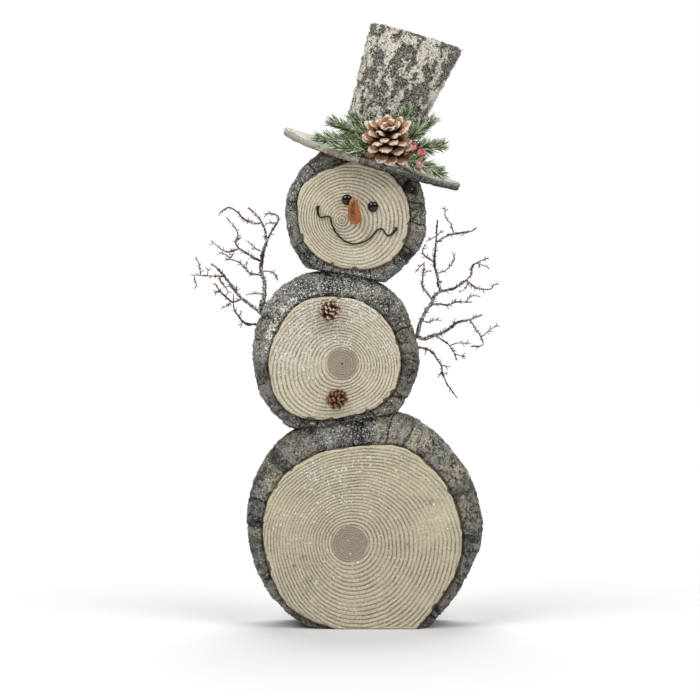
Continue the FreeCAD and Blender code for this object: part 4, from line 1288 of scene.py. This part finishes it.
# Branches as (radius at the start, radius at the tip, points from the twig's hole).
LEFT_ARM = (
    (2.3, 1.6, ((0, 0, 0), (1, -1, 7), (4, -2, 18), (4, -2, 32), (1, -1, 40), (1, 1, 52), (3, 2, 62),
                (6, 3, 72))),
    (1.5, 0.8, ((6, 3, 72), (5, 4, 83), (1, 6, 92), (-4, 7, 99), (-13, 6, 108))),
    (1.3, 0.6, ((6, 3, 72), (13, -3, 85), (19, -8, 95), (15, -9, 100), (4, -9, 100))),
    (1.1, 0.6, ((1, 6, 92), (-8, 8, 92), (-19, 10, 97), (-24, 10, 103), (-33, 8, 108), (-43, 6, 102))),
    (1.3, 0.7, ((1, 1, 52), (-8, -3, 56), (-21, -9, 65), (-25, -11, 72), (-19, -13, 76))),
    (0.7, 0.5, ((-25, -11, 72), (-23, -12, 82), (-35, -15, 97))),
    (0.9, 0.5, ((-21, -9, 65), (-30, -12, 62), (-36, -13, 62), (-50, -13, 73))),
    (1.2, 0.6, ((2, -1, 38), (-10, 6, 40), (-16, 9, 45), (-22, 12, 51), (-29, 14, 54), (-37, 14, 55))),
    (0.8, 0.5, ((3, -2, 42), (10, -6, 42), (16, -9, 38), (18, -10, 32))),
    (1.9, 0.8, ((0, 0, 0), (-6, 2, 4), (-19, 3, 14), (-25, 2, 20), (-29, 1, 26), (-36, 0, 36), (-50, -2, 50))),
    (1.2, 0.6, ((-19, 3, 14), (-29, 7, 11), (-36, 9, 16), (-43, 10, 23), (-47, 10, 30))),
    (0.8, 0.5, ((-36, 0, 36), (-43, -5, 37), (-56, -7, 37), (-71, -8, 38))),
    (0.6, 0.45, ((-61, -7, 37), (-62, -8, 48), (-66, -9, 57))),
)
RIGHT_ARM = (
    (2.3, 1.6, ((0, 0, 0), (2, -1, 8), (4, -2, 16), (9, -3, 25), (14, -3, 32), (18, -2, 41), (24, 0, 46))),
    (1.5, 0.8, ((24, 0, 46), (22, 3, 56), (18, 6, 75), (19, 6, 88), (20, 4, 103), (21, 2, 119))),
    (1.5, 1.1, ((24, 0, 46), (38, -5, 49), (50, -9, 57))),
    (0.9, 0.5, ((50, -9, 57), (55, -11, 62), (56, -12, 70), (60, -13, 74), (73, -15, 80))),
    (1.0, 0.5, ((50, -9, 57), (58, -10, 50), (65, -10, 48), (75, -9, 48), (78, -8, 52), (84, -7, 53))),
    (1.1, 0.6, ((20, 5, 96), (31, 9, 103), (38, 11, 105), (55, 13, 108), (62, 13, 112))),
    (0.6, 0.45, ((38, 11, 105), (36, 12, 115), (30, 12, 122), (29, 12, 134))),
    (0.9, 0.5, ((18, 6, 75), (9, 2, 82), (6, 1, 86), (8, 1, 94))),
    (1.0, 0.6, ((16, -2, 36), (10, -7, 44), (5, -10, 51), (6, -12, 67), (7, -10, 76))),
    (0.7, 0.5, ((20, 5, 64), (27, 9, 66), (32, 12, 70), (39, 14, 80), (37, 14, 87))),
    (1.1, 0.6, ((14, -3, 32), (22, 2, 33), (31, 5, 32), (41, 7, 35), (57, 8, 35))),
    (1.9, 0.8, ((0, 0, 0), (7, 1, -3), (18, 3, 1), (25, 4, 3), (34, 5, 8), (42, 6, 14), (54, 6, 17),
                (68, 6, 22))),
    (0.8, 0.5, ((54, 6, 17), (60, 9, 8), (66, 10, -1), (68, 10, -9), (55, 9, -11))),
    (0.6, 0.45, ((66, 10, -1), (75, 12, 6), (84, 13, 12))),
    (0.9, 0.5, ((18, 3, 1), (29, -2, -6), (33, -4, -10), (39, -7, -18), (49, -9, -21))),
)
LEFT_SIDE_TWIG = (
    (1.2, 0.5, ((0, 0, 0), (-8, -1, 0), (-13, -2, 3), (-20, -3, 12), (-22, -3, 19), (-22, -3, 31))),
    (0.6, 0.45, ((-13, -2, 3), (-15, -4, -4))),
)
RIGHT_SIDE_TWIG = (
    (1.2, 0.5, ((0, 0, 0), (6, -1, -2), (13, -3, -6), (21, -5, -18), (23, -5, -27), (28, -5, -38),
                (38, -4, -52))),
    (0.6, 0.45, ((21, -5, -18), (31, -8, -20))),
    (0.6, 0.45, ((23, -5, -27), (29, -2, -26))),
)
# Fine side shoots, as (x, z) points from the arm's hole.
LEFT_SHOOTS = (
    ((16, 93), (4, 91)), ((2, 62), (-9, 68), (-17, 75)),
    ((-27, 64), (-29, 59), (-32, 56), (-36, 59), (-43, 62)), ((-14, 45), (-17, 53)),
    ((4, 18), (-3, 19), (-14, 19), (-16, 17)), ((-25, 20), (-26, 28)), ((-43, 23), (-50, 20)),
    ((-38, 17), (-33, 10), (-42, 4)), ((-68, 38), (-67, 30), (-65, 26)), ((-55, 38), (-54, 46)),
    ((-43, 37), (-41, 31), (-37, 27), (-34, 19)),
)
RIGHT_SHOOTS = (
    ((60, 74), (73, 69)), ((50, 56), (49, 49), (42, 44)), ((20, 102), (14, 100), (9, 97)),
    ((20, 103), (27, 109)), ((6, 63), (14, 67)), ((7, 74), (1, 70), (-3, 64)), ((50, 35), (56, 41), (65, 40)),
    ((3, 16), (11, 14), (16, 16), (25, 16)), ((37, 10), (39, 18)), ((39, -18), (39, -25)),
    ((33, -10), (41, -7), (54, -8)),
)
LEFT_SIDE_SHOOTS = (((-18, 8), (-15, 14)),)
RIGHT_SIDE_SHOOTS = (((7, -3), (7, -8)), ((22, -24), (20, -31)))
# Where each arm's hole meets the bark, and the distance between points along a twig.
LEFT_SOCKET = np.array((-109.8, 0.0, 319.8))
RIGHT_SOCKET = np.array((50.8, 0.0, 295.4))
TWIG_STEP = 0.9


def twig_lines(random, origin, branches, shoots, shift):
    """Each branch and shoot as (line, first radius, last radius); a shoot starts on the nearest branch."""
    lines = []
    for first, last, route in branches:
        lines.append((curve_points(origin + np.array(route, float), TWIG_STEP), first, last))
    trunk = np.vstack([line for line, _, _ in lines])
    for route in shoots:
        flat = np.array(route, float) + shift + origin[[0, 2]]
        near = trunk[np.argmin(np.hypot(*(trunk[:, [0, 2]] - flat[0]).T))]
        slope = random.uniform(-0.25, 0.25)
        path = [near]
        for x, z in flat[1:]:
            path.append((x, near[1] + slope * math.hypot(x - near[0], z - near[2]), z))
        lines.append((curve_points(path, TWIG_STEP), 0.62, 0.4))
    return lines


def add_spur(pile, random, line):
    """A short spur beside a branch."""
    k = min(random.integers(3, max(len(line) - 2, 4)), len(line) - 2)
    way = unit(line[k + 1] - line[k - 1])
    across = unit(np.cross(way, (0.0, 1.0, 0.0))) * random.choice((-1.0, 1.0))
    across = unit(across + np.array((0, random.normal() * 0.6, 0)))
    heading = unit(way * random.uniform(0.2, 0.9) + across)
    s = np.linspace(0, 1, 5)[:, None]
    spur = line[k] + heading * random.uniform(1.6, 4.6) * s + s**2 * way * 0.8
    pile.add(*tube(spur, np.array((0.55, 0.48, 0.42, 0.40, 0.26)), 5), thin=0.9, frost=0.4)


def build_twig(name, node, body, origin, socket_angle, depth, stub, branches, shoots, shift, spur_every, seed):
    """Knobbly forked twig: branches, fine shoots, short spurs, and a round stub that fills its hole."""
    random = np.random.default_rng(seed)
    origin = np.array(origin)
    pile = Pile()
    angle = math.radians(socket_angle)
    into = np.array((math.cos(angle), 0.0, math.sin(angle)))
    stub_line = origin - into * np.linspace(depth + 1.8, -0.8, 10)[:, None]
    pile.add(*tube(stub_line, np.full(10, stub), 12), thin=0.0, frost=0.3)
    for line, first, last in twig_lines(random, origin, branches, shoots, shift):
        share = np.linspace(0, 1, len(line))
        free = smooth(0.0, 0.12, share) * smooth(1.0, 0.9, share)
        line = line + 0.55 * wander(line, 6.0, seed + 40) * free[:, None]
        knobs = 1.0 + 0.26 * noise(line, 2.6, seed + 50) + 0.55 * smooth(0.25, 0.6, noise(line, 3.0, seed + 51))
        radii = (first + (last - first) * share) * knobs
        radii[-2:] *= (0.8, 0.5)
        sides = 8 if first > 1 else 6
        points, faces = tube(line, radii, sides)
        thin = np.append(np.repeat(smooth(1.2, 0.6, radii), sides), (0.5, 1.0))
        frost = smooth(-0.2, 0.3, noise(points, 22.0, seed + 60)) * (1.0 - 0.6 * thin)
        pile.add(points, faces, thin=thin, frost=frost)
        for _ in range(int(len(line) * TWIG_STEP / spur_every)):
            add_spur(pile, random, line)
    pile.build(name, TWIG, "twig_bark", body=body, replaces=(node,))
    return np.vstack(pile.points)


left_twig = build_twig("left_arm_branches", "left_twig_arm", "left_arm", LEFT_SOCKET, 149.5, 30.0, 2.55,
                       LEFT_ARM, LEFT_SHOOTS, (1.1, -0.6), 3.4, 901)
right_twig = build_twig("right_arm_branches", "right_twig_arm", "right_arm", RIGHT_SOCKET, 14.5, 30.0, 2.55,
                        RIGHT_ARM, RIGHT_SHOOTS, (0.5, 0.1), 3.6, 911)
build_twig("left_side_branches", "left_side_twig", "root", (-114.6, -12.0, 307.4), 158.0, 16.0, 1.45,
           LEFT_SIDE_TWIG, LEFT_SIDE_SHOOTS, (1.9, -0.8), 7.0, 921)
build_twig("right_side_branches", "right_side_twig", "root", (53.4, -10.0, 283.7), 6.5, 16.0, 1.45,
           RIGHT_SIDE_TWIG, RIGHT_SIDE_SHOOTS, (-1.9, -0.2), 7.0, 931)


# ---------------------------------------------------------------- snow and glitter


def pick(weights, count, seed):
    """Indices picked without repeats, more often where the weight is larger."""
    weights = np.clip(weights.ravel(), 0, None)
    random = np.random.default_rng(seed)
    return random.choice(len(weights), size=count, replace=False, p=weights / weights.sum())


def away_from(x, z, centre):
    return np.hypot(x - centre[0], z - centre[1])


def disc_snow(name, centre, reach, inside, count, weight, seed, low, high):
    """Flecks of snow over part of a slice's face. inside is the (centre, radius) of a round to stay in."""
    random = np.random.default_rng(seed)
    x, z = (random.uniform(-1, 1, size=(count * 12, 2)) * reach + centre).T
    flat = np.stack([x, 0 * x, z], axis=1)
    weight = smooth(1.0, 0.96, away_from(x, z, inside[0]) / inside[1]) * weight(x, z)
    chosen = flat[pick(weight * smooth(-0.25, 0.5, noise(flat, 6.0, seed)), count, seed + 1)]
    chosen[:, 1] = WOOD_FRONT - 0.05
    grains(name, chosen, np.tile((0.0, -1.0, 0.0), (count, 1)), low, high, seed + 2, "sawn_wood")


def middle_weight(x, z):
    """Most at the top and the upper left, little on the pith and none under the upper button."""
    left = smooth(-30, -70, x) * smooth(232, 260, z)
    off_pith = 0.08 + 0.92 * smooth(14, 19, away_from(x, z, (-26, 267)))
    return (smooth(255, 310, z) + 0.6 * left) * smooth(11.5, 14, away_from(x, z, (-39, 320))) * off_pith


def lower_weight(x, z):
    """Most in one drift at the upper left, with a thinner one at the left."""
    drift = smooth(52, 8, np.hypot((x + 46) * 0.75, z - 158)) ** 1.5
    return drift + 0.22 * smooth(46, 12, away_from(x, z, (-80, 110))) + 0.05


disc_snow("middle_disc_snow", MIDDLE_CENTRE, 66.0, ((-33.0, 274.0), 62.0), 2000, middle_weight, 1001, 0.45, 2.0)
disc_snow("lower_disc_snow", LOWER_CENTRE, 98.0, ((-6.0, 97.0), 92.0), 850, lower_weight, 1011, 0.4, 2.1)
disc_snow("head_disc_snow", HEAD_CENTRE, 54.0, ((-13.0, 418.0), 50.0), 110,
          lambda x, z: smooth(385, 372, z) + 0.06, 1021, 0.4, 1.3)


def surface_snow(name, points, normals, count, weight, seed, low, high, slot):
    """Crystals caught on a rough surface."""
    chosen = pick(weight, count, seed)
    random = np.random.default_rng(seed + 1)
    places = points.reshape(-1, 3)[chosen] + random.normal(size=(count, 3)) * 0.25
    grains(name, places, normals.reshape(-1, 3)[chosen], low, high, seed + 2, slot)


# The first rows lie beside the wood's front and the last are on the back, and neither get crystals.
FIRST_BARE, LAST_BARE = 6, 14
for label, ring, count in (
    ("lower", lower_bark, 1100),
    ("middle", middle_bark, 2100),
    ("head", head_bark, 1000),
):
    points, normals, frost, depth = ring
    weight = (frost**1.4 + 0.02) * (depth < 20) * (points[..., 2] > 3.0)
    weight[:FIRST_BARE] = 0
    weight[-LAST_BARE:] = 0
    surface_snow(label + "_bark_glitter", points, normals, count, weight, 1100 + count, 0.35, 1.7, "log_bark")

# Larger crystals have caught where the middle slice's wood meets its bark, on the upper left.
points, normals, _, _ = middle_bark
compass = np.degrees(np.arctan2(points[..., 2] - MIDDLE_CENTRE[1], points[..., 0] - MIDDLE_CENTRE[0]))
weight = smooth(100, 125, compass) * smooth(180, 165, compass)
weight = weight * (0.2 + smooth(-0.2, 0.3, noise(points, 7.0, 1151)))
first_row, end_row = 3, 11
weight[:first_row] = 0
weight[end_row:] = 0
surface_snow("middle_rim_snow", points, normals, 300, weight, 1153, 0.6, 2.4, "log_bark")

points, normals, frost = crown_surface
surface_snow("crown_glitter", points, normals, 2600, frost**1.1 * (normals[..., 1] < 0.3), 1201, 0.4, 1.35,
             "crown_bark")


def scattered(name, points, count, low, high, seed, grain_seed, slot, body="root"):
    """Crystals at some of the points, each facing its own way."""
    random = np.random.default_rng(seed)
    chosen = random.choice(len(points), size=count, replace=False)
    normals = random.normal(size=(count, 3))
    normals /= np.linalg.norm(normals, axis=1, keepdims=True)
    grains(name, points[chosen], normals, low, high, grain_seed, slot, body)


# This near an arm's hole there are no crystals, so that none meets the bark as the arm turns.
CLEAR_OF_SOCKET = 15.0
for label, twig, socket, count, seed in (("left", left_twig, LEFT_SOCKET, 900, 1301),
                                         ("right", right_twig, RIGHT_SOCKET, 600, 1311)):
    clear = twig[np.linalg.norm(twig - socket, axis=1) > CLEAR_OF_SOCKET]
    scattered(label + "_arm_glitter", clear, count, 0.45, 1.5, seed, seed + 1, "twig_bark", label + "_arm")
scattered("fir_flock_grains", needle_points, 1500, 0.4, 1.15, 1401, 1403, "fir_needles")


# ---------------------------------------------------------------- stage, light and camera

FLOOR_LEVEL = -0.05
FLOOR_TONE = 0.64
WORLD_LIGHT = 0.17


def build_stage():
    """A plain pale floor, just under the figure's foot."""
    columns, radii = 96, np.array((300.0, 900.0, 2500.0, 9000.0))[:, None]
    x, y = radii * np.cos(turns(columns)), radii * np.sin(turns(columns))
    points = np.vstack([np.stack([x, y, 0 * x + FLOOR_LEVEL], axis=-1).reshape(-1, 3), (0, 0, FLOOR_LEVEL)])
    faces = fan(np.arange(columns), x.size).tolist() + grid_faces(len(radii), columns, True)[:, ::-1].tolist()
    mesh = bpy.data.meshes.new("stage_floor")
    mesh.from_pydata((points * MM).tolist(), [], faces)
    look = Look("stage_white", 0.9)
    look.put(look.shader, {"Base Color": (FLOOR_TONE, FLOOR_TONE, FLOOR_TONE, 1.0)})
    mesh.materials.append(look.material)
    floor = bpy.data.objects.new("stage_floor", mesh)
    bpy.context.scene.collection.objects.link(floor)


def build_world():
    """White where the camera sees it, and a dim fill light on everything else."""
    world = bpy.data.worlds.new("studio")
    world.use_nodes = True
    background = world.node_tree.nodes["Background"]
    background.inputs["Color"].default_value = (1.0, 1.0, 1.0, 1.0)
    path = world.node_tree.nodes.new("ShaderNodeLightPath")
    level = world.node_tree.nodes.new("ShaderNodeMapRange")
    level.inputs["To Min"].default_value = WORLD_LIGHT
    level.inputs["To Max"].default_value = 1.0
    world.node_tree.links.new(path.outputs["Is Camera Ray"], level.inputs["Value"])
    world.node_tree.links.new(level.outputs[0], background.inputs["Strength"])
    bpy.context.scene.world = world


def sun(name, compass, height, strength, spread):
    """A far soft light: compass 0 is straight in front and 90 from the right, height above the floor."""
    data = bpy.data.lights.new(name, "SUN")
    data.energy = strength
    data.angle = math.radians(spread)
    obj = bpy.data.objects.new(name, data)
    bpy.context.scene.collection.objects.link(obj)
    a, h = math.radians(compass), math.radians(height)
    towards = Vector((math.sin(a) * math.cos(h), -math.cos(a) * math.cos(h), math.sin(h)))
    obj.rotation_euler = towards.to_track_quat("Z", "Y").to_euler()


build_stage()
build_world()
sun("softbox_right", 46, 50, 1.60, 36)
sun("softbox_left", -48, 50, 1.80, 36)
sun("softbox_behind", 180, 60, 2.3, 42)

camera_data = bpy.data.cameras.new("camera")
camera_data.lens = 107.3
camera_data.sensor_width = 36.0
camera = bpy.data.objects.new("camera", camera_data)
camera.location = (-0.018, -2.140, 0.281)
camera.rotation_euler = (math.pi / 2, 0.0, 0.0)
bpy.context.scene.collection.objects.link(camera)
bpy.context.scene.camera = camera
bpy.context.scene.view_settings.view_transform = "Standard"
bpy.context.scene.view_settings.look = "None"
